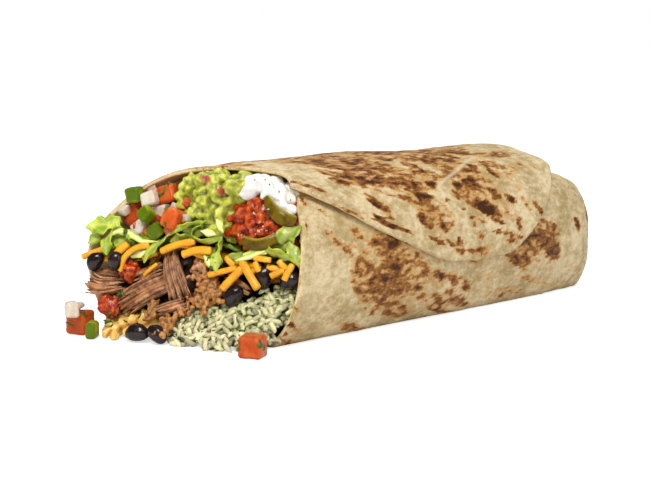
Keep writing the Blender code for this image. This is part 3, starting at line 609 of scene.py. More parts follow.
class Kit:
    """A material's node tree, built a node at a time."""

    def __init__(self, name: str) -> None:
        """Start a material with its shader."""
        self.made = bpy.data.materials.new(name)
        self.made.use_nodes = True
        self.tree = self.made.node_tree
        self.shader = self.tree.nodes["Principled BSDF"]
        self.place = self.tree.nodes.new("ShaderNodeTexCoord").outputs["Object"]

    def feed(self, socket: Socket, value: object) -> None:
        """Set a socket or link it to another."""
        if isinstance(value, Socket):
            self.tree.links.new(value, socket)
        elif isinstance(value, tuple) and len(value) == 3 and socket.type == "RGBA":
            socket.default_value = (*value, 1.0)
        else:
            socket.default_value = value

    def add(self, kind: str, out: str | int, sockets: dict, **options: object) -> Socket:
        """Output of a new node.

        Args:
            kind: The node's kind.
            out: Name or number of the output.
            sockets: Values and links for its inputs, by name or number.
            options: The node's own settings.

        Returns:
            The output.
        """
        node = self.tree.nodes.new("ShaderNode" + kind)
        for name, value in options.items():
            setattr(node, name, value)
        for name, value in sockets.items():
            self.feed(node.inputs[name], value)
        return node.outputs[out]

    def math(self, operation: str, a: object, b: object = 0.0, c: object = 0.0) -> Socket:
        """Result of a sum on one to three numbers."""
        return self.add("Math", 0, {0: a, 1: b, 2: c}, operation=operation)

    def step(self, value: object, low: float, high: float) -> Socket:
        """Soft step of a number between two limits."""
        sockets = {"Value": value, "From Min": low, "From Max": high}
        return self.add("MapRange", "Result", sockets, interpolation_type="SMOOTHSTEP")

    def mix(self, share: object, a: object, b: object, how: str = "MIX") -> Socket:
        """Colour part of the way from a to b."""
        return self.add("Mix", 2, {0: share, 6: a, 7: b}, data_type="RGBA", blend_type=how)

    def noise(self, size: float, detail: float = 3.0, rough: float = 0.5,
              stretch: Triple = (1, 1, 1), turn: Triple = (0, 0, 0),
              distort: float = 0.0, shift: Triple = (0, 0, 0)) -> Socket:
        """Noise whose features are about size millimetres across, on the piece's own place."""
        place = self.add("Mapping", "Vector", {"Vector": self.place, "Scale": stretch,
                                               "Rotation": turn, "Location": shift})
        return self.add("TexNoise", "Fac", {"Vector": place, "Scale": 1 / (size * MM),
                                            "Detail": detail, "Roughness": rough,
                                            "Distortion": distort})

    def value_of(self, name: str) -> Socket:
        """A number kept on the mesh's points."""
        return self.add("Attribute", "Fac", {}, attribute_name=name)

    def bump(self, height: object, distance: float, strength: float = 1.0,
             under: Socket | None = None) -> Socket:
        """Normal from a height, in millimetres."""
        sockets = {"Height": height, "Distance": distance * MM, "Strength": strength}
        if under is not None:
            sockets["Normal"] = under
        return self.add("Bump", "Normal", sockets)

    def set(self, **values: object) -> None:
        """Feed the shader's own sockets, named with underscores for spaces."""
        for name, value in values.items():
            self.feed(self.shader.inputs[name.replace("_", " ")], value)


@dataclass(frozen=True)
class Finish(ABC):
    """A surface finish."""

    name: str

    @abstractmethod
    def wire(self, kit: Kit) -> None:
        """Join up the material's nodes."""

    def material(self) -> bpy.types.Material:
        """The finished material."""
        kit = Kit(self.name)
        self.wire(kit)
        return kit.made


@dataclass(frozen=True)
class FoodFinish(Finish):
    """Moist food with a mottled colour, a second tint and a shade for each piece or point, which
    carries random tone and painted shade.
    """

    dark: Colour
    light: Colour
    tint: Colour
    mottle: float = 2.0
    contrast: Pair = (0.35, 0.65)
    shading: Pair = (0.72, 1.2)
    rough: float = 0.4
    glow: float = 0.15
    glow_colour: Colour = (1.0, 0.4, 0.2)
    glow_depth: float = 1.5
    bump: float = 0.15
    bump_size: float = 0.8
    coat: float = 0.0
    shine: float = 0.45

    def wire(self, kit: Kit) -> None:
        """Join up the material's nodes."""
        pattern = kit.step(kit.noise(self.mottle, 4, 0.6), *self.contrast)
        colour = kit.mix(pattern, self.dark, self.light)
        colour = kit.mix(kit.value_of("tint"), colour, self.tint)
        # The shade darkens the colour: random tone, and painted shade from crevices, dark cores and
        # lower layers.
        low, high = self.shading
        shade = kit.math("MULTIPLY_ADD", kit.value_of("shade"), high - low, low)
        grey = kit.add("CombineColor", 0, {0: shade, 1: shade, 2: shade})
        colour = kit.mix(1.0, colour, grey, "MULTIPLY")
        fine = kit.noise(self.bump_size, 3, 0.6)
        kit.set(Base_Color=colour, Roughness=self.rough, Normal=kit.bump(fine, self.bump),
                Subsurface_Weight=self.glow, Subsurface_Radius=self.glow_colour,
                Subsurface_Scale=self.glow_depth * MM, Coat_Weight=self.coat,
                Coat_Roughness=0.12, Specular_IOR_Level=self.shine)


@dataclass(frozen=True)
class TortillaFinish(Finish):
    """Flour tortilla, cream coloured with toasted marks where the mesh says so."""

    pale: Colour = (0.73, 0.585, 0.35)
    sallow: Colour = (0.42, 0.295, 0.12)
    tan: Colour = (0.59, 0.30, 0.075)
    toast: Colour = (0.25, 0.084, 0.014)
    char: Colour = (0.045, 0.014, 0.005)
    # Inner face: its own untoasted cream, made lighter as painted light on the shaded inside of the
    # mouth.
    inner: Colour = (0.85, 0.64, 0.34)
    edge: Colour = (0.74, 0.60, 0.37)
    flour: Colour = (0.85, 0.75, 0.54)

    def wire(self, kit: Kit) -> None:
        """Join up the material's nodes."""
        broad = kit.noise(17, 3, 0.55)
        fine = kit.noise(3.0, 5, 0.62, (0.7, 1, 1))
        cloud = kit.math("MULTIPLY_ADD", fine, 0.5, kit.math("MULTIPLY", broad, 0.5))
        colour = kit.mix(kit.step(cloud, 0.37, 0.62), self.sallow, self.pale)
        specks = kit.noise(1.5, 4, 0.65, (0.7, 1, 1), (0, 0, 0), 0.0, (0.7, 0.2, 0.4))
        colour = kit.mix(kit.math("MULTIPLY", kit.step(specks, 0.54, 0.66), 0.5), colour, self.sallow)
        colour = kit.mix(kit.math("MULTIPLY", kit.step(specks, 0.44, 0.34), 0.4), colour, self.flour)
        # The inner face takes its cream, made lighter as painted light.
        colour = kit.mix(kit.value_of("inside"), colour, self.inner)
        streaks = kit.noise(2.6, 5, 0.6, (0.5, 1, 1), (0, 0, 0.15), 0.1)
        patches = kit.noise(8.0, 2, 0.5, (0.7, 1, 1), (0, 0, 0.3), 0.3, (0.3, 0.1, 0.2))
        pattern = kit.math("MULTIPLY_ADD", patches, 0.2, kit.math("MULTIPLY", streaks, 0.7))
        heat = kit.math("MULTIPLY_ADD", kit.value_of("toast"), 0.40, pattern)
        browned = kit.step(heat, 0.70, 0.82)
        for low, high, share, tone in ((0.61, 0.75, 0.8, self.tan), (0.705, 0.81, 0.94, self.toast),
                                       (0.80, 0.905, 0.93, self.char)):
            cover = kit.math("MULTIPLY", kit.step(heat, low, high), share)
            colour = kit.mix(cover, colour, tone)
        crease = kit.math("MULTIPLY", kit.value_of("crease"), 0.8)
        colour = kit.mix(crease, colour, self.edge)
        pores = kit.noise(0.8, 3, 0.6)
        soft = kit.bump(cloud, 1.0, 0.8)
        normal = kit.bump(kit.math("MULTIPLY_ADD", pores, 0.6, browned), 0.2, 0.8, soft)
        kit.set(Base_Color=colour, Roughness=0.6, Normal=normal, Subsurface_Weight=0.08,
                Subsurface_Radius=(1.0, 0.6, 0.35), Subsurface_Scale=MM, Specular_IOR_Level=0.2)


# Pieces

@dataclass
class Piece(ABC):
    """One piece of the dressed burrito, with the nodes that it stands for."""

    name: str
    nodes: tuple[str, ...]
    slot: str
    seed: int = 1
    look: FoodFinish | None = None

    @abstractmethod
    def build(self) -> Object:
        """Make the piece's mesh."""

    def finish(self) -> Finish:
        """The piece's finish, which is its look unless it has one of its own kind."""
        assert self.look is not None
        return self.look

    def dress(self, piece: Object) -> None:
        """Give the piece its material."""
        piece.data.materials.clear()
        piece.data.materials.append(self.finish().material())

    def place(self) -> Object:
        """Build and dress the piece, and tie it to the frame."""
        piece = self.build()
        self.dress(piece)
        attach(piece, "root")
        if self.nodes:
            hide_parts(*self.nodes)
        faces = sum(len(p.vertices) - 2 for p in piece.data.polygons)
        LOG.info("%s: %d triangles, for %s", self.name, faces, ", ".join(self.nodes) or "crumbs")
        return piece


class Gathered(Piece):
    """A piece that is gathered from many shapes."""

    @abstractmethod
    def fill(self, heap: Heap, rng: random.Random) -> None:
        """Add the piece's shapes to an empty heap."""

    def build(self) -> Object:
        """Make the piece's mesh."""
        heap = Heap()
        self.fill(heap, random.Random(self.seed))
        return heap.finish(self.name)


class Sheet(Enum):
    """The two layers of the wrapped tortilla."""

    ROLL = "roll"
    FLAP = "flap"


@dataclass(frozen=True)
class Mark:
    """A toasted mark: place, half length along the roll, half width round it, and strength."""

    x: float
    angle: float
    length: float
    width: float
    heat: float
    slant: float = 0.0

    def at(self, x: np.ndarray, angle: np.ndarray) -> np.ndarray:
        """How strongly the mark shows at some places."""
        along, across = x - self.x, (angle - self.angle) * MM_PER_DEGREE
        turn = math.radians(self.slant)
        u = (along * math.cos(turn) + across * math.sin(turn)) / self.length
        v = (across * math.cos(turn) - along * math.sin(turn)) / self.width
        far = u * u + v * v
        edge = np.clip((2.5 - far) * 0.66, 0, 1)
        return self.heat * (0.95 - 0.1 * far) * edge * edge * (3 - 2 * edge)


class Tracer:
    """Turns strokes that were read off the photo into marks on the wrapped tortilla."""

    least_width = 0.8
    most_width = 14.0
    stride = 0.5
    longest_move = 8.0

    def __init__(self, grow: float) -> None:
        """Prepare a coarse net of places on the near side, some way outside the roll."""
        self.grow = grow
        self.net = [(x, angle) for x in range(-100, 145, 12) for angle in range(-50, 112, 9)]
        self.shown = np.array([self.pixel(*place) for place in self.net])

    def pixel(self, x: float, angle: float) -> np.ndarray:
        """Where a place on the roll shows in the photo."""
        return np.array(VIEW.pixel(ROLL.section(x, angle, self.grow)))

    def find(self, pixel: np.ndarray) -> np.ndarray:
        """Place along and round the roll that shows at a pixel of the photo."""
        nearest = int(((self.shown - pixel) ** 2).sum(1).argmin())
        place = np.array(self.net[nearest], float)
        for _ in range(25):
            here = self.pixel(*place)
            steps = (self.stride, 0.0), (0.0, self.stride)
            slopes = np.stack([(self.pixel(*(place + step)) - here) / self.stride
                               for step in steps], 1)
            move = np.linalg.lstsq(slopes, pixel - here, rcond=1e-3)[0]
            size = float(np.linalg.norm(move))
            place = place + move * min(1.0, self.longest_move / max(size, MM))
            place[1] = clamp(place[1], -60.0, 108.0)
            if size < 0.01:
                break
        return place

    def mark(self, crop: Crop, row: Row) -> Mark:
        """The mark for a stroke.

        Args:
            crop: The part of the photo in which the stroke was read.
            row: The stroke's two ends in the crop, half its breadth in the photo, and its strength.

        Returns:
            The mark.
        """
        x0, y0, x1, y1, half, heat = row
        start, end = crop.pixel(x0, y0), crop.pixel(x1, y1)
        along, across = (self.find(end) - self.find(start)) * (1.0, MM_PER_DEGREE)
        line = end - start
        aside = np.array((-line[1], line[0])) / np.linalg.norm(line)
        middle = self.find((start + end) / 2)
        side = (self.find((start + end) / 2 + aside * half) - middle) * (1.0, MM_PER_DEGREE)
        width = clamp(float(np.linalg.norm(side)), self.least_width, self.most_width)
        length = max(math.hypot(along, across) / 2, width * 0.8)
        slant = (math.degrees(math.atan2(across, along)) + 90) % 180 - 90
        return Mark(middle[0], middle[1], length, width, heat, slant)


@dataclass
class Tortilla(Piece):
    """The wrapped tortilla: a roll closed at one end, and the flap that laps over it."""

    columns: int = 200
    rows: int = 160
    flap_columns: int = 120
    flap_rows: int = 150
    rim_steps: tuple[float, ...] = (0.0, 0.12, 0.45, 1.0)
    root_angle: float = 158.0
    flap_height: float = 3.0
    inner_end_x: float = 127.0
    end_height: float = 25.0
    sags: tuple[Triple, ...] = ((5, 45, 2.3), (98, 8, 3.8), (108, 16, 1.2))
    roll_strokes: tuple[tuple[Crop, tuple[Row, ...]], ...] = (
        (WIDE, (
            (262, 255, 330, 300, 13, 0.95), (280, 300, 335, 380, 15, 0.95),
            (225, 290, 262, 345, 8, 0.9), (255, 380, 330, 425, 9, 0.95),
            (335, 300, 392, 335, 8, 0.9), (300, 240, 372, 262, 5, 0.93),
            (205, 228, 238, 245, 4, 0.9), (190, 268, 218, 290, 4, 0.87),
            (215, 330, 250, 400, 6, 0.85), (340, 345, 380, 400, 6, 0.85),
            (398, 378, 420, 400, 5, 0.93), (436, 335, 482, 368, 7, 0.93),
            (425, 375, 470, 402, 5, 0.9), (400, 330, 440, 345, 4, 0.95),
            (300, 418, 380, 440, 1.35, 0.9), (120, 458, 162, 472, 1.6, 1.03),
            (178, 447, 235, 460, 2.6, 0.9), (380, 405, 440, 420, 2.4, 0.81),
            (240, 410, 262, 425, 3, 0.85), (560, 262, 618, 305, 8, 0.95),
            (600, 222, 650, 262, 10, 0.93), (640, 240, 690, 290, 7, 0.93),
            (640, 210, 690, 232, 4, 0.85), (575, 300, 610, 320, 3, 0.95),
            (712, 160, 722, 172, 2.4, 0.9), (725, 200, 735, 230, 2, 0.9),
            (590, 335, 660, 355, 2.6, 0.71),
            (500, 330, 560, 345, 3, 0.66), (480, 300, 520, 312, 2.6, 0.85),
            (104, 200, 112, 260, 1.6, 0.95), (130, 180, 160, 200, 1.8, 0.9),
            (150, 235, 185, 262, 3, 0.85), (95, 150, 105, 180, 1.6, 0.9),
            (60, 440, 95, 470, 2.6, 0.95), (88, 300, 94, 350, 1.2, 0.85),
            (78, 400, 90, 430, 1.6, 0.9))),)
    flap_strokes: tuple[tuple[Crop, tuple[Row, ...]], ...] = (
        (CLOSE, (
            (40, 165, 150, 205, 3.5, 1), (0, 232, 260, 295, 3.5, 1),
            (120, 150, 370, 225, 4.5, 0.92), (240, 255, 480, 320, 4.5, 1.02),
            (0, 190, 200, 250, 4, 0.9), (230, 130, 310, 150, 2, 1.05),
            (320, 110, 400, 132, 2.2, 0.9), (370, 165, 480, 200, 2.5, 0.98),
            (465, 140, 555, 162, 2.2, 0.98), (480, 92, 570, 112, 1.8, 0.95),
            (575, 95, 710, 108, 2, 0.98), (640, 125, 690, 145, 2.5, 1.05),
            (560, 175, 700, 215, 4, 0.95), (90, 92, 260, 98, 1.2, 0.85),
            (300, 90, 440, 80, 1.2, 0.8), (610, 75, 800, 80, 1.6, 0.95),
            (590, 255, 680, 240, 3.5, 1), (510, 285, 580, 292, 2.2, 1.1),
            (670, 288, 740, 300, 2.6, 1.1), (740, 275, 835, 315, 4, 1.1),
            (735, 205, 835, 255, 5, 1), (770, 165, 830, 195, 2.5, 1),
            (350, 365, 470, 410, 3, 1.08), (410, 352, 565, 372, 2.6, 1.1),
            (480, 395, 600, 440, 5, 0.92), (475, 480, 560, 555, 4.5, 1.05),
            (595, 510, 645, 585, 3, 0.98), (560, 445, 620, 490, 3.5, 0.95),
            (672, 325, 715, 388, 2.6, 1.05), (640, 375, 660, 412, 2.2, 0.8),
            (745, 372, 790, 400, 2, 0.85), (725, 438, 760, 450, 1.8, 0.95),
            (800, 545, 825, 545, 2, 1), (820, 420, 838, 450, 3, 1), (830, 590, 840, 600, 1.5, 1),
            (160, 375, 300, 455, 3.6, 1.1), (200, 480, 325, 560, 2, 1.08),
            (250, 490, 330, 510, 1.4, 0.85), (330, 550, 440, 600, 1.6, 0.98),
            (530, 610, 635, 668, 2, 1.05), (690, 665, 715, 700, 2.2, 1),
            (430, 215, 520, 245, 2, 0.85), (0, 265, 40, 295, 3, 1),
            (300, 455, 330, 470, 1.2, 0.8), (200, 330, 345, 370, 1.6, 0.85))),
        (WIDE, (
            (500, 68, 560, 84, 2.4, 0.98), (525, 84, 548, 108, 3, 1.02),
            (575, 75, 630, 85, 1.6, 0.85), (500, 45, 560, 55, 1.6, 0.9),
            (455, 125, 500, 165, 7, 1), (480, 165, 550, 190, 5, 1.1), (520, 130, 555, 160, 4, 1),
            (560, 148, 590, 166, 2.4, 1), (600, 158, 625, 180, 2.5, 0.9),
            (628, 165, 655, 200, 2.6, 1.05), (480, 200, 520, 214, 2.4, 0.95),
            (522, 204, 562, 216, 2.2, 0.98), (500, 238, 512, 250, 2.4, 1.05),
            (530, 232, 590, 244, 2.2, 0.95), (590, 212, 602, 232, 2.4, 0.95),
            (560, 190, 600, 205, 2, 0.85), (455, 250, 468, 284, 2.6, 1.05),
            (430, 252, 445, 266, 2.2, 0.95), (560, 262, 600, 250, 1.8, 0.9),
            (500, 270, 530, 280, 1.4, 0.85), (470, 280, 520, 287, 1, 0.9),
            (90, 72, 190, 84, 3, 1), (160, 112, 200, 126, 2.6, 1.08), (130, 90, 240, 125, 3, 0.9),
            (60, 120, 150, 145, 1.6, 1.05), (75, 140, 130, 165, 1.4, 1),
            (205, 85, 330, 130, 5, 0.95), (100, 55, 200, 64, 2, 0.92),
            (220, 48, 330, 56, 1.8, 0.95), (160, 62, 260, 80, 3.5, 0.95),
            (245, 150, 300, 190, 3.4, 1.1), (20, 62, 90, 66, 1.2, 0.85),
            (320, 60, 470, 68, 3, 0.98), (340, 90, 430, 110, 3, 0.98),
            (260, 205, 330, 232, 1.8, 1), (180, 176, 240, 204, 1.2, 0.85))))
    roll_marks: tuple[Row, ...] = (
        (-98.6, -36.1, 12.8, 4, 0.76, -40), (56.9, -34.1, 15.5, 4, 0.66, -6),
        (131.6, 14.5, 4.6, 5.7, 0.95, 64),
        (-36, -6, 24, 16, 0.64, -30), (72, -1, 20, 8, 0.6, -22), (8, -26, 16, 8, 0.58, -30),
        (40, 140, 46, 22, 0.73, 0), (-50, 160, 32, 20, 0.77, 0), (70, 195, 34, 14, 0.73, 0),
        (-10, 205, 28, 12, 0.69, 0), (-70, 210, 20, 10, 0.77, 0), (20, 270, 80, 22, 0.65, 0),
        (118, 150, 12, 22, 0.6, 0), (112, 60, 10, 22, 0.47, 0), (-108, 150, 8, 14, 0.6, 0))
    flap_marks: tuple[Row, ...] = (
        (-22, 56, 24, 8, 0.76, -28), (22, 70, 30, 8, 0.78, -10), (-6, 22, 12, 7, 0.72, -35),
        (34, 44, 14, 8, 0.76, -40), (34, 26, 14, 7, 0.7, -30), (58, 50, 12, 7, 0.68, -30),
        (-20, 84, 34, 10, 0.82, 0), (26, 86, 34, 8, 0.9, -4), (74, 66, 12, 4, 0.85, 0),
        (-92, 82, 8, 4, 0.73, 0), (-84, 90, 10, 5, 0.69, 0), (-60, 108, 26, 12, 0.77, 0),
        (0, 108, 36, 12, 0.77, 0), (62, 104, 22, 14, 0.73, 0), (-30, 132, 30, 10, 0.73, 0),
        (40, 130, 30, 10, 0.69, 0))
    dents: tuple[tuple[float, float, float, float], ...] = (
        (112, 84, 12, 1.5), (109, 56, 10, 1.5), (112, 8, 13, 1.5), (104, -22, 12, 1.2),
        (96, -6, 9, 0.9),
        (-72, 22, 10, 0.8), (-84, -4, 10, 0.7), (30, -20, 12, 0.7), (60, -34, 14, 0.8),
        (118, 110, 13, 1.3), (110, 165, 12, 1.2), (60, 200, 16, 0.9), (-60, 190, 15, 0.8),
        (128, -12, 8, 1.1), (10, 170, 18, 0.7))
    crease: tuple[Pair, ...] = (
        (4, 38), (11, 43), (22, 48), (33, 54), (44, 60), (55, 65))

    def relief(self, sheet: Sheet, x: float, angle: float) -> float:
        """Fine unevenness of a layer's outer face, on top of its broad wave.

        Args:
            sheet: The layer.
            x: Place along the roll.
            angle: Place round the roll.

        Returns:
            Height in millimetres.
        """
        point = self.unrolled(x, angle)
        lift = 0.42 * ripple(point, 17, 3, 4.0) + 0.14 * ripple(point, 4.5, 2, 9.0)
        if sheet is Sheet.ROLL:
            for dent_x, dent_angle, radius, depth in self.dents:
                far = math.hypot(x - dent_x, (angle - dent_angle) * MM_PER_DEGREE) / radius
                if far < 1:
                    lift -= depth * smooth(1 - far)
        else:
            lift += 0.55 * self.on_crease(x, angle)
        return lift

    def settle(self, x: float, angle: float) -> float:
        """Broad wave, with the top sunk and the corners filled towards the closed end."""
        top = smooth((angle - 42) / 30) * smooth((150 - angle) / 30)
        sag = top * sum(depth * smooth((x - start) / length)
                        for start, length, depth in self.sags)
        corner = abs(math.sin(2 * math.radians(angle))) * (0.8 if 0 < angle < 180 else 0.5)
        fill = smooth((x - 114) / 22) * (0.4 + 2.4 * corner) * (1 - top)
        return ROLL.wave(x, angle) - sag + fill

    @staticmethod
    def unrolled(x: float, angle: float) -> Vector:
        """Place on a cylinder about as large as the roll, for noise without a seam."""
        a = math.radians(angle)
        return Vector((x, 46 * math.cos(a), 46 * math.sin(a)))

    def on_crease(self, x: float, angle: float) -> float:
        """How close a place is to the pale crease in the flap, from 0 to 1."""
        best = 0.0
        here = Vector((x, angle * MM_PER_DEGREE))
        knots = [Vector((x0, a0 * MM_PER_DEGREE)) for x0, a0 in self.crease]
        for start, end in zip(knots, knots[1:]):
            along = end - start
            t = clamp((here - start).dot(along) / along.length_squared)
            far = (here - start - along * t).length
            best = max(best, math.exp(-(far / 0.9) ** 2))
        return best

    def toast(self, sheet: Sheet, x: np.ndarray, angle: np.ndarray) -> np.ndarray:
        """How toasted some places are, from 0 to about 1."""
        on_roll = sheet is Sheet.ROLL
        tracer = Tracer(0.0 if on_roll else self.flap_height)
        marks = [Mark(*row) for row in (self.roll_marks if on_roll else self.flap_marks)]
        marks += [tracer.mark(crop, row)
                  for crop, rows in (self.roll_strokes if on_roll else self.flap_strokes)
                  for row in rows]
        angle = (angle + 90) % 360 - 90
        toast = np.array([0.12 + 0.26 * ripple(self.unrolled(*place), 24, 2, 2.0)
                          for place in zip(x, angle)])
        for mark in marks:
            toast = np.maximum(toast, mark.at(x, angle))
        return toast * np.array([1 + 0.16 * ripple(self.unrolled(*place), 9, 2, 6.0)
                                 for place in zip(x, angle)])

    @staticmethod
    def grid(columns: int, rows: int,
             place: Callable[[float, int], Vector]) -> Shape:
        """Grid of faces laid on a surface.

        Args:
            columns: Faces across.
            rows: Faces along.
            place: Gives the point for a share across and a row.

        Returns:
            The sheet.
        """
        bm = bmesh.new()
        bmesh.ops.create_grid(bm, x_segments=columns, y_segments=rows, size=1.0)
        for vert in bm.verts:
            share = (vert.co.x + 1) / 2
            row = round((vert.co.y + 1) / 2 * rows)
            vert.co = place(share, row)
        return bm

    def roll_rows(self, last: float) -> list[Pair]:
        """Rows along the roll, each as millimetres from the rim and a share of the rest."""
        start = [(step, 0.0) for step in self.rim_steps]
        count = self.rows - len(start)
        return start + [(1.0, last * (k + 1) / count) for k in range(count)]

    @staticmethod
    def rim(depth: float, wall: float) -> float:
        """Half the wall's thickness at a distance from its rounded rim."""
        return wall / 2 * math.sqrt(1 - (1 - clamp(depth)) ** 2)

    def roll_sheets(self) -> list[Shape]:
        """Outer and inner face of the roll, meeting at the rim."""
        cap = (0.97, 0.93, 0.87, 0.8, 0.7, 0.58, 0.45, 0.32, 0.2, 0.1, 0.0)
        steps = self.roll_rows(1.0)
        folds = [math.radians(angle) for angle in (0, 120, 240)]

        def outer(share: float, row: int) -> Vector:
            """Point on the outer face."""
            angle = -90 + 360 * share
            rim_x = ROLL.roll_mouth(angle)
            if row < len(steps):
                depth, along = steps[row]
                x = rim_x + depth + (ROLL.last_ring_x - rim_x - depth) * along
                half = self.rim(depth, ROLL.wall) if along == 0 else ROLL.wall / 2
                grow = half - ROLL.wall / 2 + self.settle(x, angle)
                under = math.sin(math.radians(angle)) < -0.8
                fade = smooth((x - rim_x) / 6) * (0.4 if under else 1)
                grow += self.relief(Sheet.ROLL, x, angle) * fade
                return ROLL.section(x, angle, grow)
            keep = cap[row - len(steps)]
            point = ROLL.section(ROLL.last_ring_x, angle, self.settle(ROLL.last_ring_x, angle)
                                 + self.relief(Sheet.ROLL, ROLL.last_ring_x, angle))
            creases = sum(math.exp(-((math.radians(angle) - f) % math.tau / 0.09) ** 2)
                          for f in folds)
            x = ROLL.last_ring_x + 2.7 * (1 - keep * keep) ** 0.6
            x -= 0.8 * creases * keep * (1 - keep)
            return Vector((x, point.y * keep, mix(self.end_height, point.z, keep)))

        depths = [(step, 0.0) for step in self.rim_steps]
        depths += [(1.0, share) for share in (0.02, 0.05, 0.1, 0.17, 0.26, 0.4, 0.6, 0.8, 1.0)]

        def inner(share: float, row: int) -> Vector:
            """Point on the inner face."""
            angle = -90 + 360 * share
            rim_x = ROLL.roll_mouth(angle)
            keep = 1.0 if row < len(depths) else 0.0
            depth, along = depths[min(row, len(depths) - 1)]
            x = rim_x + depth + (self.inner_end_x - rim_x - depth) * along
            grow = -ROLL.wall / 2 - self.rim(depth, ROLL.wall)
            grow += 0.25 * ripple(self.unrolled(x, angle), 9, 2, 5.0) * smooth(along * 20)
            grow += self.settle(x, angle) - ROLL.wave(x, angle) * smooth(along * 20)
            point = ROLL.section(x, angle, grow, min(ROLL.wall, depth * 2.2) if along == 0
                                 else ROLL.wall)
            return Vector((x, point.y * keep, mix(self.end_height, point.z, keep)))

        outside = self.grid(self.columns, len(steps) + len(cap) - 1, outer)
        inside = self.grid(self.columns, len(depths), inner)
        return [outside, inside]

    def flap_sheets(self) -> list[Shape]:
        """Outer and under face of the flap, meeting at its rims."""
        edge = [(0.0, step) for step in self.rim_steps]
        count = self.flap_columns - len(edge)
        across = edge + [((k + 1) / count, 1.0) for k in range(count)]
        count = self.flap_rows - 2 * len(edge)
        along = edge + [((k + 1) / count, 1.0) for k in range(count)]
        far = [(1.0, -step) for step in reversed(self.rim_steps)]
        rows = along[:-1] + far
        edges = [self.free_edge(share) for share, _ in rows]

        def face(up: float) -> Callable[[float, int], Vector]:
            """Function that gives the points of the outer or the under face."""
            def place(share: float, row: int) -> Vector:
                """Point on the face."""
                cross, inset = across[round(share * (len(across) - 1))]
                length, step = rows[row]
                angle = edges[row] + 0.7 * ripple(Vector((length * 190, 7, 1)), 11, 2, 1.0)
                angle += inset / MM_PER_DEGREE
                angle += (self.root_angle - angle) * cross
                x = mix(ROLL.flap_mouth(angle), ROLL.flap_end_x, length)
                x += step if length == 0.0 else min(step, 0.0)
                border = min(inset if cross == 0 else 1.0, abs(step) if abs(step) < 1 else 1.0)
                half = self.rim(border, ROLL.flap_wall)
                lift = ROLL.flap_gap + ROLL.flap_lift(x, angle)
                lift += (1.1 * smooth((x - 90) / 9) * smooth((angle - 30) / 20)
                         * smooth((118 - angle) / 20))
                root = smooth((angle - 104) / (self.root_angle - 104))
                middle = mix(lift + ROLL.flap_wall / 2, -1.6, root)
                grow = middle + up * half + self.settle(x, angle)
                if up > 0:
                    grow += self.relief(Sheet.FLAP, x, angle) * smooth(border) * (1 - root)
                    grow += self.relief(Sheet.ROLL, x, angle) * root
                return ROLL.section(x, angle, grow)
            return place

        size = len(across) - 1, len(rows) - 1
        return [self.grid(*size, face(1.0)), self.grid(*size, face(-1.0))]

    @staticmethod
    def free_edge(share: float) -> float:
        """Angle of the flap's free edge in a row, a share of the way along the flap."""
        angle = ROLL.corner[1]
        for _ in range(30):
            x = mix(ROLL.flap_mouth(angle), ROLL.flap_end_x, share)
            angle = mix(angle, ROLL.flap_edge(x), 0.5)
        return angle

    def build(self) -> Object:
        """Make the roll and the flap as one piece with its toast marks."""
        heap = bmesh.new()
        labels: list[np.ndarray] = []
        for sheet, faces in ((Sheet.ROLL, self.roll_sheets()), (Sheet.FLAP, self.flap_sheets())):
            shell = bmesh.new()
            shell.verts.layers.float.new("inside")
            scratch = bpy.data.meshes.new("scratch")
            for k, bm in enumerate(faces):
                layer = bm.verts.layers.float.new("inside")
                for vert in bm.verts:
                    vert[layer] = float(k)
                bm.to_mesh(scratch)
                shell.from_mesh(scratch)
                bm.free()
            bpy.data.meshes.remove(scratch)
            bmesh.ops.remove_doubles(shell, verts=shell.verts[:], dist=0.01)
            bmesh.ops.dissolve_degenerate(shell, dist=0.001, edges=shell.edges[:])
            bmesh.ops.recalc_face_normals(shell, faces=shell.faces[:])
            if shell.calc_volume(signed=True) < 0:
                bmesh.ops.reverse_faces(shell, faces=shell.faces[:])
            side = shell.verts.layers.float["inside"]
            labels.append(self.values(sheet, shell, side))
            mesh = bpy.data.meshes.new("shell")
            shell.to_mesh(mesh)
            shell.free()
            heap.from_mesh(mesh)
            bpy.data.meshes.remove(mesh)
        bmesh.ops.scale(heap, vec=(MM, MM, MM), verts=heap.verts[:])
        mesh = bpy.data.meshes.new(self.name)
        heap.to_mesh(mesh)
        heap.free()
        values = np.concatenate(labels)
        for column, label in enumerate(("toast", "inside", "crease")):
            layer = mesh.attributes.get(label) or mesh.attributes.new(label, "FLOAT", "POINT")
            layer.data.foreach_set("value", values[:, column].copy())
        return placed(mesh)

    def values(self, sheet: Sheet, shell: Shape,
               side: bmesh.types.BMLayerItem) -> np.ndarray:
        """Toast, inside and crease at each point of a layer.

        Args:
            sheet: The layer.
            shell: Its shape in millimetres.
            side: Mesh layer that is 0 on the outer face and 1 on the inner one.

        Returns:
            An array with one row for each point.
        """
        places = []
        for vert in shell.verts:
            x, y, z = vert.co
            middle = ROLL.top_at(x) * 0.43
            angle = math.degrees(math.atan2(
                signed_power((z - middle) / max(ROLL.top_at(x) - middle, 1), ROLL.power / 2),
                signed_power(-y / ROLL.width_at(x), ROLL.power / 2)))
            crease = self.on_crease(x, angle) if sheet is Sheet.FLAP else 0.0
            places.append((x, angle, clamp(vert[side]), crease))
        x, angle, inner, crease = np.array(places).T
        toast = self.toast(sheet, x, angle) * (1 - inner)
        return np.stack([toast, inner, crease * (1 - inner)], 1).astype(np.float32)

    def finish(self) -> Finish:
        """The tortilla's finish."""
        return TortillaFinish("tortilla_finish")


def traced(path: Sequence[Spot], count: int) -> list[Vector]:
    """Places along a curve in the mouth, given as Y, Z and distance out from the front."""
    return curve([at_front(*spot) for spot in path], count)


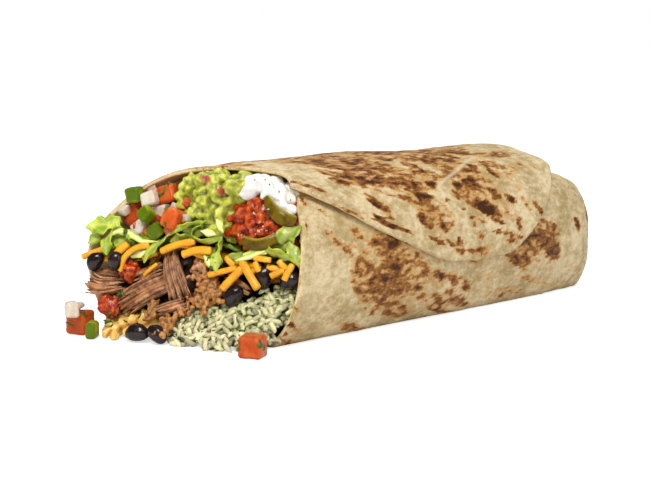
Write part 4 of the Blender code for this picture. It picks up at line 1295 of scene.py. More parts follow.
@dataclass
class Filling(Gathered):
    """A filling over its own core: the node's solid, softened and a little smaller at the front."""

    cut_x: float = -66.0
    voxel: float = 1.0
    rounds: int = 6
    sink: float = 0.8

    def core(self) -> Shape:
        """Front of the node's solid, with its fused pieces melted away."""
        bm = remeshed(cut(copy_of(self.nodes[0]), self.cut_x, True), self.voxel, self.rounds)
        return roughened(bm, lambda place: -self.sink * smooth((self.cut_x - place.x) / 4))

    def rear(self) -> Shape:
        """The rest of the node's solid, inside the roll, drawn in where the roll sinks."""
        bm = cut(copy_of(self.nodes[0]), self.cut_x, False)
        for vert in bm.verts:
            draw = smooth((vert.co.x + 5) / 50) + 0.4 * smooth((vert.co.x - 90) / 14)
            vert.co.y *= 1 - 0.08 * draw
            if vert.co.z > 30:
                vert.co.z = mix(vert.co.z, mix(30, vert.co.z, 0.83), draw)
        return bm


@dataclass
class Rice(Filling):
    """Cooked rice: loose grains over the core, which is drawn dark as painted shade between them."""

    look: FoodFinish | None = FoodFinish(
        "rice_grains_finish", (0.60, 0.59, 0.27), (0.78, 0.75, 0.42), (0.93, 0.84, 0.52),
        mottle=3.0, rough=0.3, glow=0.1, glow_colour=(0.8, 0.8, 0.5), bump=0.04,
        shading=(0.10, 1.22))
    layers: tuple[tuple[int, float, float, float], ...] = (
        (540, 1.9, 0.2, 0.9), (290, 2.5, 1.2, 2.3))
    length: float = 5.8
    radius: float = 1.1
    sink: float = 1.9

    def grain(self, rng: random.Random) -> Shape:
        """Bent grain along X."""
        bm = bmesh.new()
        bmesh.ops.create_uvsphere(bm, u_segments=8, v_segments=8, radius=1.0,
                                  matrix=Matrix.Rotation(math.pi / 2, 4, "Y"))
        long = self.length * rng.uniform(0.72, 1.12) / 2
        wide = self.radius * rng.uniform(0.85, 1.1)
        bend, notch = rng.uniform(0.1, 0.6), rng.uniform(0, 0.12)
        for vert in bm.verts:
            x, y, z = vert.co
            blunt = max(math.hypot(y, z), 0.05) ** -0.45
            full = wide * blunt * (1 - 0.1 * x) * (1 + notch * math.sin(5 * x))
            vert.co = Vector((x * long, y * full, z * full * 0.86 + bend * (1 - 2 * x * x)))
        return bm

    def fill(self, heap: Heap, rng: random.Random) -> None:
        """Make the core and its grains."""
        core = self.core()
        jobs = [(spot, low, high) for count, spacing, low, high in self.layers
                for spot in spots_on(core, count, spacing, rng, faces_out)]
        # Painted shade: the core takes the lowest shade, as the shadow in the gaps between grains.
        heap.add(core, 0.0, 0.0)
        heap.add(self.rear(), 0.25)
        for (place, normal), low, high in jobs:
            lean = Matrix.Rotation(rng.gauss(0, 0.36), 3, "Y")
            turn = facing_turn(normal, rng.uniform(0, math.tau)) @ lean
            white = smooth((13 - place.z) / 12) * 0.65 + rng.uniform(0, 0.3)
            # Painted shade: grains of the lower layer are darker.
            painted_depth_shade = 0.3 if high < 1 else 0.0
            heap.add(transformed(self.grain(rng), turn, place + normal * rng.uniform(low, high)),
                     rng.uniform(0.52, 0.96) - painted_depth_shade * rng.uniform(0.6, 1.3), white)


@dataclass(frozen=True)
class Bundle:
    """A bundle of meat fibres along a path in the mouth."""

    path: tuple[Spot, ...]
    widths: Pair
    count: int
    lift: float = 2.0
    layers: int = 3


@dataclass
class Beef(Filling):
    """Braised beef: pulled bundles of fibres and browned crumbs."""

    look: FoodFinish | None = FoodFinish(
        "beef_shreds_finish", (0.26, 0.085, 0.030), (0.70, 0.345, 0.16), (0.46, 0.19, 0.040),
        mottle=3.4, rough=0.38, glow=0.05, glow_colour=(1.0, 0.3, 0.15), bump=0.16,
        bump_size=0.7, contrast=(0.35, 0.65), shading=(0.10, 1.25), coat=0.08)
    sink: float = 1.6
    bundles: tuple[Bundle, ...] = (
        Bundle(((33.5, 21.5, 1.0), (41, 20.0, 4.2), (47.6, 21.6, 6.0)), (6.0, 8.5), 11, 2.0),
        Bundle(((29, 13.0, 2.4), (18.7, 19.7, 3.4), (7, 26.5, 1.2)), (10.0, 8.5), 15, 2.6),
        Bundle(((11.6, 35.8, 1.2), (8.4, 27.5, 4.2), (1.8, 17.0, 3.4)), (6.0, 10.0), 14, 2.2),
        Bundle(((10.5, 12.0, 3.2), (0.0, 16.4, 2.6)), (4.0, 4.6), 7, 1.4, 2),
        Bundle(((28, 24.0, 1.4), (15.0, 29.4, 1.6)), (4.5, 4.0), 7, 1.0, 2),
        Bundle(((37, 14.5, 0.8), (30, 9.0, 2.0)), (5.0, 4.0), 7, 1.0, 2),
        Bundle(((46, 25.5, 1.0), (36, 24.0, 1.4)), (4.0, 5.0), 7, 1.0, 2),
        Bundle(((-14, 26.5, 0.4), (-26, 22.0, 0.6)), (5.0, 4.0), 7, 1.0, 2))
    crumbs: tuple[tuple[float, float, float, float, int, float], ...] = (
        (-2.9, 30.0, 6.4, 3.4, 40, 0.3), (-8.8, 20.4, 8.0, 3.6, 90, 0.9), (-7, 25, 5.0, 2.6, 26, 0.7),
        (12.8, 12.6, 4.4, 3.0, 24, 0.75), (1.6, 7.6, 4.6, 3.4, 26, 0.7),
        (31.0, 15.1, 3.4, 2.2, 12, 0.5), (40.5, 17.0, 4.0, 2.0, 14, 0.3),
        (-0.5, 13.0, 3.6, 2.8, 12, 0.5),
        (21, 25, 3.0, 0.8, 9, 0.8))

    def strand(self, spec: Bundle, across: float, layer: int,
               rng: random.Random) -> Shape:
        """One fibre of a bundle.

        Args:
            spec: The bundle.
            across: Place across it, from -0.5 to 0.5.
            layer: How many fibres lie over it.
            rng: Random numbers.

        Returns:
            The fibre, as a closed tube.
        """
        steps = 14
        line = traced(spec.path, 24)
        first, last = rng.uniform(-0.08, 0.3), rng.uniform(0.72, 1.06)
        phase, speed = rng.uniform(0, 9), rng.uniform(3, 7)
        drift, height = rng.gauss(0, 0.11), rng.uniform(-0.5, 0.6)
        thick = rng.choice((0.3, 0.4, 0.5, 0.62, 0.85)) * rng.uniform(0.85, 1.15)
        points, radii = [], []
        for k in range(steps + 1):
            t = mix(first, last, k / steps)
            i = min(max(int(t * 24), 0), 23)
            ahead = line[i + 1] - line[i]
            base = line[i] + ahead * (t * 24 - i)
            side = ahead.cross(OUTWARDS).normalized()
            offset = across + drift * (t - 0.3) + 0.035 * math.sin(phase + speed * 0.6 * t)
            point = base + side * offset * mix(*spec.widths, clamp(t))
            dome = math.sqrt(max(1 - (2 * across) ** 2, 0.0))
            end = math.sin(math.pi * clamp(t))
            point += OUTWARDS * (spec.lift * (0.6 * dome + 0.4 * end - 0.6) - layer * 0.75
                                 + height + 0.25 * math.sin(phase * 2 + speed * 0.7 * t))
            points.append(point)
            radii.append(thick * mix(0.42, 1.0, math.sin(math.pi * k / steps) ** 0.4))
        side = (line[-1] - line[0]).cross(OUTWARDS).normalized()
        return tube(points, radii, 6, rng.uniform(0.75, 1.1), side)

    def crumb(self, y: float, z: float, spread: float, out: float, count: int,
              rng: random.Random) -> Shape:
        """Crumbly lump round a place in the mouth."""
        lump = Heap()
        for _ in range(round(1.3 * count)):
            place = at_front(y + rng.gauss(0, spread * 0.36), z + rng.gauss(0, spread * 0.36),
                             out - rng.uniform(0.6, 3.6))
            size = [rng.uniform(0.7, 1.8) for _ in range(3)]
            lump.add(transformed(blob(size, rng, 0.3), random_turn(rng), place))
        lump.add(transformed(blob([spread * 0.42] * 3, rng, 0.3), random_turn(rng),
                             at_front(y, z, out - 2.4 - spread * 0.2)))
        joined = remeshed(lump.bm, 0.42, 1)
        return roughened(joined, lambda p: 0.36 * ripple(p, 1.2, 2, 8.0))

    def fill(self, heap: Heap, rng: random.Random) -> None:
        """Make the core, the bundles and the crumbs."""
        # Painted shade: the core behind the fibres takes the lowest shade, as the shadow in their gaps.
        heap.add(self.core(), 0.0)
        heap.add(self.rear(), 0.2)
        for spec in self.bundles:
            for layer in range(spec.layers):
                count = round(1.5 * spec.count)
                for i in range(count):
                    across = (i + 0.5 * (layer % 2) + rng.uniform(0.1, 0.9)) / (count + 0.5) - 0.5
                    # Painted shade: fibres that lie under others are darker.
                    shade = clamp(rng.gauss(0.66, 0.24) - 0.18 * layer)
                    heap.add(self.strand(spec, across, layer, rng), shade, rng.choice((0.0, 0.0, 0.3)))
        for y, z, spread, out, count, gold in self.crumbs:
            joined = self.crumb(y, z, spread, out, count, rng)
            # Painted shade: the crumbs are darker in their crevices.
            heap.add(joined, painted_crevice_shade(joined, rng.uniform(0.5, 0.62), 1.6), gold)


@dataclass(frozen=True)
class Shred:
    """A grated shred along a path in the mouth."""

    path: tuple[Spot, ...]
    width: float


@dataclass
class Cheddar(Filling):
    """Grated cheddar: rounded bars over the core."""

    look: FoodFinish | None = FoodFinish(
        "cheddar_shreds_finish", (0.86, 0.36, 0.012), (0.95, 0.47, 0.02), (0.98, 0.6, 0.12),
        mottle=4.0, rough=0.36, glow=0.12, glow_colour=(1.0, 0.5, 0.1), bump=0.05,
        shading=(0.6, 1.12))
    sink: float = 2.2
    shreds: tuple[Shred, ...] = (
        Shred(((51, 31.5, 4.5), (41.4, 35.6, 3)), 2.5),
        Shred(((37.5, 29.1, 3.6), (34.4, 34.2, 3.8), (30, 38.3, 3.2)), 3.4),
        Shred(((33.1, 26.7, 4.4), (31.1, 32.1, 4.6), (25.6, 36.7, 4.4), (19.8, 38.2, 3.2)), 2.5),
        Shred(((21.7, 25.7, 3.6), (15.9, 30.8, 3.4)), 1.7),
        Shred(((13.7, 36.1, 3.8), (6.8, 39.1, 3.8), (-0.8, 40.8, 3.2)), 3.0),
        Shred(((3.5, 35.3, 4), (-2.7, 37.3, 4), (-9.1, 37.5, 3.4)), 3.2),
        Shred(((-8.6, 27.5, 4.6), (-20.6, 31.1, 3.4)), 2.5),
        Shred(((-16.3, 22.4, 5.4), (-23.2, 31.4, 3.6)), 3.3),
        Shred(((-22.8, 34, 3.4), (-32.2, 23.2, 5.6)), 3.3),
        Shred(((-15.2, 35.2, 2.6), (-18.9, 31.9, 2.8)), 2.5),
        Shred(((-28.5, 35.7, 3.2), (-35.3, 35.1, 3.2)), 2.4),
        Shred(((-28.6, 33.9, 3.2), (-30.3, 30.2, 3.4)), 2.4),
        Shred(((-35.3, 28.6, 3.8), (-40, 31.5, 3.4)), 2.5),
        Shred(((-40.4, 27.2, 4.2), (-42.6, 33.7, 3)), 2.8),
        Shred(((-38.2, 34.8, 3), (-40.4, 31.9, 3.2)), 2.6),
        Shred(((46, 30.0, 1.0), (39, 32.0, 1.4)), 2.6),
        Shred(((24, 33, 1.2), (17, 35.5, 1.2)), 2.6),
        Shred(((2, 37, 1.0), (-8, 34, 1.2)), 2.6),
        Shred(((-20, 33.5, 1.2), (-30, 32, 1.2)), 2.6),
        Shred(((-24, 29, 1.8), (-31, 31.5, 1.6)), 2.5),
        Shred(((-33, 32.5, 1.6), (-42, 30.0, 1.6)), 2.5))

    def shred(self, spec: Shred, rng: random.Random) -> Shape:
        """Squarish bar along a path, with rounded ends."""
        count = 10
        points = traced(spec.path, count)
        bow = OUTWARDS * rng.uniform(0.1, 0.7)
        points = [p + bow * math.sin(math.pi * k / count) for k, p in enumerate(points)]
        radii = [spec.width * 0.55 * rng.uniform(0.93, 1.04) for _ in points]
        ahead = points[-1] - points[0]
        side = ahead.cross(OUTWARDS).normalized()
        side = Matrix.Rotation(rng.uniform(-0.5, 0.5), 3, ahead) @ side
        return subdivided(tube(points, radii, 8, 0.85, side, 3.6), 1)

    def fill(self, heap: Heap, rng: random.Random) -> None:
        """Make the core and the shreds."""
        heap.add(self.core(), 0.1)
        heap.add(self.rear(), 0.4)
        for spec in self.shreds:
            made = self.shred(spec, rng)
            roughened(made, lambda p: 0.06 * ripple(p, 1.6, 2, 3.0))
            heap.add(made, rng.uniform(0.55, 0.9))


@dataclass(frozen=True)
class Leaf:
    """A lettuce leaf or strip along a path in the mouth."""

    path: tuple[Spot, ...]
    width: float
    ruffle: float = 0.8
    lean: float = 0.2
    twist: float = 0.3
    shade: float = 0.6
    rib: float = 0.2
    root: float = 0.6
    tip: float = 0.35


@dataclass
class Lettuce(Filling):
    """Shredded lettuce: ruffled leaves and strips hanging from the core."""

    look: FoodFinish | None = FoodFinish(
        "lettuce_leaves_finish", (0.28, 0.42, 0.005), (0.62, 0.71, 0.045), (0.86, 0.86, 0.42),
        mottle=3.6, rough=0.28, glow=0.15, glow_colour=(0.6, 1.0, 0.15), bump=0.25,
        bump_size=1.7, shading=(0.2, 1.3), coat=0.12)
    thick: float = 0.4
    leaves: tuple[Leaf, ...] = (
        Leaf(((37, 48, 2), (44, 45.4, 4), (50.6, 43.6, 5.5)),
             9.5, 1.1, 0.1, 0.5, 0.72, 0.15, 0.5, 0.15),
        Leaf(((38.7, 44, 2.6), (40.2, 39, 4.2), (39.3, 32.8, 4.6)),
             5.6, 0.9, 0.3, 0.6, 0.68, 0.2, 0.8, 0.3),
        Leaf(((41.6, 38.4, 3.4), (37.2, 42.7, 4.2), (30.7, 42.6, 4.4), (23.8, 39.8, 4),
              (16.7, 39.9, 3)),
             2.6, 0.4, 0.5, 0.8, 0.85, 0.75),
        Leaf(((42, 47.8, 2.6), (35.1, 44.9, 3)), 4.2, 0.7, 0.2, 0.4, 0.9, 0.5),
        Leaf(((11, 44.3, 2.4), (14, 40.9, 3.4), (18.4, 36.2, 4.6), (21.4, 30.8, 5.2)),
             5.8, 0.7, 0.25, 0.7, 0.7, 0.25, 0.2, 0.7),
        Leaf(((15, 39.0, 2.6), (21.6, 33.8, 4.2)), 3.6, 0.5, 0.9, 0.5, 0.5, 0.2),
        Leaf(((29, 32.8, 2.6), (20.9, 35.8, 3)), 3.0, 0.4, 0.2, 0.3, 0.9, 0.85),
        Leaf(((11.6, 43.8, 3), (4.5, 47.3, 3.8), (-2.5, 48.9, 4)), 3.4, 0.6, 0.5, 0.9, 0.62, 0.15),
        Leaf(((-3.6, 49.4, 3.4), (0.4, 46.4, 3.2), (1.2, 43.4, 3.4), (-4.6, 40.9, 3.8), (-12.8, 43, 4)),
             4.4, 0.6, 0.7, 0.9, 0.42, 0.1),
        Leaf(((8, 44.8, 2), (-4, 44.4, 2)), 6.0, 1.0, 0.1, 0.3, 0.12, 0.1),
        Leaf(((-1.9, 45.1, 3.4), (-9.6, 44.0, 3.6)), 2.9, 0.3, 0.2, 0.2, 0.95, 1.0, 0.3),
        Leaf(((-7.8, 50, 3), (-12.2, 44.9, 3.2)), 3.4, 0.3, 0.2, 0.2, 0.95, 0.9, 0.7, 0.7),
        Leaf(((-12.6, 42.2, 3), (-12, 35.9, 4.4), (-11.7, 28.8, 5.2)),
             5.4, 0.9, 0.35, 0.9, 0.72, 0.3, 0.8, 0.25),
        Leaf(((-5.8, 35.2, 3.8), (-11.4, 29.8, 5)), 3.0, 0.4, 0.2, 0.4, 0.92, 0.8, 0.7, 0.3),
        Leaf(((-20.1, 34, 4.4), (-26.7, 36.2, 4.2), (-32.4, 38.8, 3.4)),
             2.1, 0.25, 0.3, 0.3, 0.9, 0.8, 0.3, 0.8),
        Leaf(((-31.9, 39.7, 3), (-37.5, 37.9, 4.4), (-42.1, 36, 4.4)),
             5.6, 0.7, 0.2, 0.6, 0.5, 0.2, 0.5, 0.5),
        Leaf(((-36.8, 42, 2.4), (-39.4, 45.6, 3.4), (-42.9, 48.6, 2.4)),
             7.6, 1.0, 0.2, 0.6, 0.42, 0.25, 0.8, 0.5),
        Leaf(((-39.8, 42.3, 2.6), (-43.3, 37.3, 4), (-45.2, 32, 4.4)),
             5.2, 0.7, 0.3, 0.5, 0.5, 0.2, 0.8, 0.2),
        Leaf(((-22.8, 36.6, 2.6), (-33, 37.9, 2.6)), 4.0, 0.5, 0.1, 0.3, 0.9, 0.6),
        Leaf(((18.6, 41.6, 1.4), (28, 43.4, 1.4)), 6.0, 0.9, 0.1, 0.4, 0.4, 0.15),
        Leaf(((-15, 35.4, 1.4), (-25, 35, 1.4)), 4.6, 0.7, 0.2, 0.4, 0.45, 0.2),
        Leaf(((40, 40, 1), (28, 38.6, 1.4)), 6.4, 1.0, 0.2, 0.6, 0.5, 0.2),
        Leaf(((12, 41, 1), (2, 42.6, 1.4)), 6.0, 1.0, 0.2, 0.6, 0.4, 0.2),
        Leaf(((-30, 41, 0.6), (-41, 40.6, 1.4)), 6.6, 1.0, 0.2, 0.5, 0.45, 0.2),
        Leaf(((-44.5, 46, 1.2), (-45.5, 40, 2.2)), 4.5, 0.7, 0.2, 0.4, 0.5, 0.2),
        Leaf(((45.5, 41.5, 2), (48.5, 37.0, 4)), 4.5, 0.8, 0.3, 0.4, 0.6, 0.2))

    def leaf(self, spec: Leaf, seed: float) -> tuple[Shape, list[float], list[float]]:
        """Ruffled sheet, its shade with painted light and shade on the ruffles, and its rib.

        Args:
            spec: The leaf's place and size.
            seed: Shifts its ruffles.

        Returns:
            The sheet, and for each point its shade and how much of the pale rib it has.
        """
        rows, columns = 30, 10
        line = traced(spec.path, rows)
        length = sum((b - a).length for a, b in zip(line, line[1:]))
        waves = length / 4.2
        bm = bmesh.new()
        bmesh.ops.create_grid(bm, x_segments=rows, y_segments=columns, size=1.0)
        shades, ribs = [], []
        for vert in bm.verts:
            i, v = round((vert.co.x + 1) / 2 * rows), vert.co.y
            u = i / rows
            ahead = (line[min(i + 1, rows)] - line[max(i - 1, 0)]).normalized()
            side = ahead.cross(OUTWARDS).normalized()
            roll = Matrix.Rotation(spec.lean + spec.twist * math.sin(2.6 * u + seed), 3, ahead)
            side = roll @ side
            out = side.cross(ahead).normalized()
            if out.dot(OUTWARDS) < 0:
                out.negate()
            full = math.sin(math.pi * mix(0.04, 0.96, u)) ** 0.5
            half = spec.width * 0.56 * full * mix(1, mix(spec.root, spec.tip, u), abs(2 * u - 1) ** 1.6)
            edge = v * v
            half *= 1 + 0.13 * edge * math.sin(waves * 5.3 * u + 2 * v + seed * 3)
            wave = math.sin(waves * 2.1 * u + 1.6 * v + seed)
            fold = math.sin(waves * 4.6 * u - 3 * v + seed * 2)
            bow = spec.ruffle * ((0.25 + 0.75 * edge) * wave + 0.4 * edge * fold + 0.5 * (1 - edge))
            vert.co = line[i] + side * half * v + out * bow
            vein = abs(math.sin(waves * 2.4 * u + 4 * abs(v) + seed)) ** 14 * 0.35
            middle = math.exp(-(v / (0.2 + 0.5 * spec.rib)) ** 2)
            ribs.append(clamp(spec.rib * 1.25 * middle + vein * (1 - spec.rib)))
            # Painted light and shade: a ruffle is lighter where it bows out and darker in its dips; the
            # leaf is also darker towards its narrow ends.
            shades.append(clamp(spec.shade + 0.16 * wave * edge - 0.1 * (1 - full)))
        return bm, shades, ribs

    def fill(self, heap: Heap, rng: random.Random) -> None:
        """Make the leaves."""
        for i, spec in enumerate(self.leaves):
            heap.add(*self.leaf(spec, i * 1.7))

    def build(self) -> Object:
        """Make the leaves and give them their thickness."""
        piece = super().build()
        wall = piece.modifiers.new("thickness", "SOLIDIFY")
        wall.thickness = self.thick * MM
        wall.offset = 0
        return piece


@dataclass
class LettuceCore(Filling):
    """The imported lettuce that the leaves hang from."""

    look: FoodFinish | None = FoodFinish(
        "lettuce_core_finish", (0.14, 0.24, 0.010), (0.36, 0.50, 0.04), (0.7, 0.8, 0.4),
        mottle=3.0, rough=0.35, glow=0.1, glow_colour=(0.6, 1.0, 0.15), bump=0.3,
        shading=(0.3, 1.1))
    sink: float = 1.8

    def fill(self, heap: Heap, rng: random.Random) -> None:
        """Make the core with crumpled relief and painted shade in its crevices."""
        core = roughened(self.core(), lambda p: 1.1 * ripple(p, 4.0, 3, 2.0))
        # Painted shade: the core is darker in its crevices.
        heap.add(core, painted_crevice_shade(core, 0.35, 0.6))
        heap.add(self.rear(), 0.3)


@dataclass
class Sauce(Filling):
    """A lumpy paste: guacamole, cream, salsa or melted cheese."""

    lumps: int = 60
    lump_size: Pair = (1.4, 2.6)
    spacing: float = 2.2
    stand: float = 0.4
    skin: float = 0.5
    fine: float = 0.25
    fine_size: float = 1.6
    chunky: bool = False
    rounds_after: int = 1
    sink: float = 0.0
    rounds: int = 1
    rise: float = 0.0
    gain: float = 1.3
    extra: tuple[tuple[float, float, float, float], ...] = ()
    tinted: tuple[Triple, ...] = ()

    def fill(self, heap: Heap, rng: random.Random) -> None:
        """Make the paste's front as one lumpy skin, and the rest behind it."""
        core = self.core()
        for vert in core.verts:
            vert.co.z += self.rise * smooth((vert.co.z - 55) / 9) * smooth((-76 - vert.co.x) / 7)
        spots = [(place + normal * (self.stand * rng.uniform(-0.5, 1.0) - 0.4),
                  [rng.uniform(*self.lump_size) for _ in range(3)])
                 for place, normal in spots_on(core, self.lumps, self.spacing, rng, faces_out)]
        spots += [(at_front(y, z, out), [size * rng.uniform(0.85, 1.15) for _ in range(3)])
                  for y, z, out, size in self.extra]
        paste = Heap()
        paste.add(core)
        for place, size in spots:
            made = (chunk([s * 1.7 for s in size], rng, 0.3, 0) if self.chunky
                    else blob(size, rng, 0.22, 2))
            paste.add(transformed(made, random_turn(rng), place))
        skin = remeshed(paste.bm, self.skin, self.rounds_after)
        roughened(skin, lambda p: self.fine * ripple(p, self.fine_size, 3, 6.0))
        centres = [(at_front(y, z, 1.5), size) for y, z, size in self.tinted]

        def bit(place: Vector) -> float:
            """Share of the second colour at a place, by its distance from each line of sight."""
            edge = 1.15 + 0.45 * ripple(place, 2.2, 2, 5.0)
            return max((smooth((edge * size - (place - centre).cross(TO_VIEWER).length) / 0.6)
                        for centre, size in centres), default=0.0) if place.x < -80 else 0.0

        if centres:
            roughened(skin, lambda p: 0.7 * bit(p))
        tints = [bit(v.co) for v in skin.verts]
        # Painted shade: the paste is darker in its crevices.
        heap.add(skin, painted_crevice_shade(skin, 0.62, self.gain), tints)
        heap.add(self.rear(), 0.5)


@dataclass
class Pico(Filling):
    """Chopped bits between the larger dices."""

    look: FoodFinish | None = FoodFinish(
        "pico_bits_finish", (0.50, 0.06, 0.015), (0.70, 0.14, 0.035), (0.80, 0.68, 0.52),
        mottle=2.5, rough=0.22, glow=0.2, glow_colour=(1.0, 0.3, 0.15), bump=0.1, coat=0.25,
        shading=(0.3, 1.15))
    bits: int = 22
    sink: float = 1.2
    placed: tuple[tuple[float, float, float, float, float], ...] = (
        (13.8, 54.1, 1.4, 3.6, 1.0), (6.4, 50.1, 2.4, 3.0, 1.0), (22.9, 43.5, 1.8, 4.0, 0.0),
        (21.2, 49.2, 1.2, 4.2, 0.0), (12.8, 44.6, 1.6, 4.6, 0.0), (30, 45.5, 0.6, 4.0, 0.0),
        (26, 60, 0.4, 4.0, 0.5), (9.8, 56, 0.8, 4.0, 0.0), (38, 52, 0.0, 4.2, 1.0))

    def fill(self, heap: Heap, rng: random.Random) -> None:
        """Make the core and its bits."""
        core = self.core()
        spots = spots_on(core, self.bits, 3.2, rng, faces_out)
        roughened(core, lambda p: 0.8 * ripple(p, 3.5, 2, 3.0))
        # Painted shade: the core is darker in its crevices.
        heap.add(core, painted_crevice_shade(core, 0.35, 0.8), 0.1)
        heap.add(self.rear(), 0.3)
        jobs = [(place + normal * 0.5, rng.uniform(2.8, 4.4), rng.choice((0.0, 0.0, 0.6, 1.0)))
                for place, normal in spots if place.y < 36]
        jobs += [(at_front(y, z, out), size, tint) for y, z, out, size, tint in self.placed]
        for place, size, tint in jobs:
            sides = [size * rng.uniform(0.75, 1.1) for _ in range(3)]
            heap.add(transformed(chunk(sides, rng), random_turn(rng), place),
                     rng.uniform(0.45, 0.85), tint)


@dataclass
class Dices(Gathered):
    """Diced vegetable: each node's own solid, softened and given its skin side."""

    skin_share: float = 0.5
    rough: float = 0.16

    def fill(self, heap: Heap, rng: random.Random) -> None:
        """Make each dice from its node."""
        for node in self.nodes:
            bm = remeshed(copy_of(node), 0.36, 2)
            shift = rng.uniform(0, 50)
            roughened(bm, lambda p: 0.06 + self.rough * ripple(p, 3.0, 3, shift))
            bm.normal_update()
            aim = (random_turn(random.Random(shift)) @ Vector((0, 0, 1)) if self.skin_share < 0.8
                   else Vector((-0.8, -0.5, rng.choice((-0.3, 0.0, 0.9)))))
            way = max((v.normal.copy() for v in bm.verts), key=lambda n: n.dot(aim))
            edge = 0.7 if self.skin_share < 0.8 else 0.35
            tints = [smooth((v.normal.dot(way) - edge) / 0.25) * self.skin_share for v in bm.verts]
            heap.add(bm, rng.uniform(0.5, 0.8), tints)


@dataclass
class Drops(Gathered):
    """Chunky lumps of sauce lying on other fillings."""

    def fill(self, heap: Heap, rng: random.Random) -> None:
        """Make each lump from its node and some chunks."""
        for node in self.nodes:
            lump = Heap()
            core = remeshed(copy_of(node), 0.5, 2)
            spots = spots_on(core, 16, 2.0, rng, lambda place, normal: True)
            lump.add(core)
            for place, normal in spots:
                size = [rng.uniform(1.6, 4.6) for _ in range(3)]
                lump.add(transformed(chunk(size, rng, 0.3, 0), random_turn(rng),
                                     place - normal * rng.uniform(0.0, 1.2)))
            skin = remeshed(lump.bm, 0.38, 3)
            roughened(skin, lambda p: 0.3 * ripple(p, 2.2, 3, 2.0))
            # Painted shade: the lumps are darker in their crevices.
            heap.add(skin, painted_crevice_shade(skin, 0.65, 1.2))


@dataclass
class Beans(Gathered):
    """Black beans with a smooth glossy skin."""

    look: FoodFinish | None = FoodFinish(
        "black_beans_finish", (0.010, 0.005, 0.006), (0.030, 0.013, 0.013), (0.2, 0.18, 0.18),
        mottle=5.0, rough=0.2, glow=0.0, bump=0.03, coat=0.1)

    def fill(self, heap: Heap, rng: random.Random) -> None:
        """Make each bean from its node."""
        for node in self.nodes:
            bm = remeshed(copy_of(node), 0.42, 5)
            roughened(bm, lambda p: 0.3 + 0.1 * ripple(p, 3.5, 2, 1.0))
            heap.add(bm, rng.uniform(0.3, 0.9))


@dataclass
class Peppers(Gathered):
    """Pickled jalapeno slices: bent bands of olive skin, paler along their upper edge."""

    look: FoodFinish | None = FoodFinish(
        "jalapeno_slices_finish", (0.085, 0.05, 0.0005), (0.19, 0.12, 0.002),
        (0.36, 0.27, 0.03), mottle=5.0, rough=0.24, glow=0.08, glow_colour=(0.8, 0.7, 0.1),
        bump=0.1, coat=0.1, shine=0.2)
    bands: tuple[tuple[tuple[Spot, ...], tuple[float, ...]], ...] = (
        (((-26.9, 59.8, 2.5), (-31.2, 55.3, 3.2), (-35.8, 52.0, 3.4), (-40.6, 50.0, 2.0)),
         (1.3, 2.7, 3.1, 2.8)),
        (((-21.7, 42.3, 3.2), (-27.3, 41.0, 4.2), (-32.2, 41.6, 4.2), (-37.0, 44.8, 2.8)),
         (2.1, 2.5, 2.6, 2.2)))

    def fill(self, heap: Heap, rng: random.Random) -> None:
        """Make each slice along its bend."""
        steps = 16
        for path, widths in self.bands:
            points = traced(path, steps)
            radii = np.interp(np.linspace(0, len(widths) - 1, steps + 1), range(len(widths)), widths)
            side = (points[-1] - points[0]).cross(TO_VIEWER).normalized()
            if side.z < 0:
                side.negate()
            bm = subdivided(tube(points, list(radii), 10, 0.5, side, 3.0), 1)
            roughened(bm, lambda p: 0.1 + 0.16 * ripple(p, 3.0, 2, 1.0))
            # Each band is tinted paler along its upper edge.
            tints = []
            for vert in bm.verts:
                i = min(range(steps + 1), key=lambda k: (vert.co - points[k]).length)
                tints.append(smooth(((vert.co - points[i]).dot(side) / radii[i] - 0.55) / 0.3))
            heap.add(bm, 0.5, tints)


@dataclass
class Scraps(Gathered):
    """Small scraps that lie on the finished pieces: chopped herbs or seeds."""

    under: tuple[Object, ...] = ()
    spots: tuple[Triple, ...] = ()
    floor_spots: tuple[tuple[float, float, float, float], ...] = ()
    flecks: int = 0
    flat: float = 0.25

    def scrap(self, rng: random.Random, size: float) -> Shape:
        """Torn scrap, bent along its length."""
        bm = bmesh.new()
        bmesh.ops.create_icosphere(bm, subdivisions=2, radius=1.0)
        bend, phase = rng.uniform(-0.5, 0.5), rng.uniform(0, 9)
        wide, teeth = rng.uniform(0.35, 0.65), rng.choice((4, 5, 7))
        for vert in bm.verts:
            x, y, z = vert.co
            rag = 1 + 0.32 * math.sin(teeth * math.atan2(y, x) + phase)
            vert.co = Vector((x * size * rag, y * size * wide * rag,
                              z * self.flat + bend * size * x * x * 0.7))
        return bm

    def landings(self) -> list[tuple[Vector, Vector, float]]:
        """Places, normals and sizes of the listed scraps on the finished pieces."""
        graph = bpy.context.evaluated_depsgraph_get()
        trees = [BVHTree.FromObject(piece, graph) for piece in self.under]
        aims = [(at_front(y, z, 14.0), -OUTWARDS, size) for y, z, size in self.spots]
        aims += [(Vector((x, y, z)) + TO_VIEWER * 9, -TO_VIEWER, size)
                 for x, y, z, size in self.floor_spots]
        found = []
        for start, way, size in aims:
            hits = [tree.ray_cast(start * MM, way.normalized(), 0.03) for tree in trees]
            hits = [hit for hit in hits if hit[0] is not None]
            if hits:
                place, normal, _, _ = min(hits, key=lambda hit: hit[3])
                found.append((place / MM, normal, size))
        return found

    def fill(self, heap: Heap, rng: random.Random) -> None:
        """Make the scraps."""
        jobs = self.landings()
        if self.flecks:
            core = cut(copy_of("rice"), FRONT_X, True)
            jobs += [(place + normal * rng.uniform(0.9, 1.9), normal, rng.uniform(0.5, 1.25))
                     for place, normal in spots_on(core, self.flecks, 2.6, rng, faces_out)]
        for place, normal, size in jobs:
            turn = facing_turn(normal, rng.uniform(0, math.tau)) @ Matrix.Rotation(
                rng.gauss(0, 0.3), 3, "X")
            heap.add(transformed(self.scrap(rng, size), turn, place + normal * 0.15),
                     rng.uniform(0.2, 0.8))


# Studio

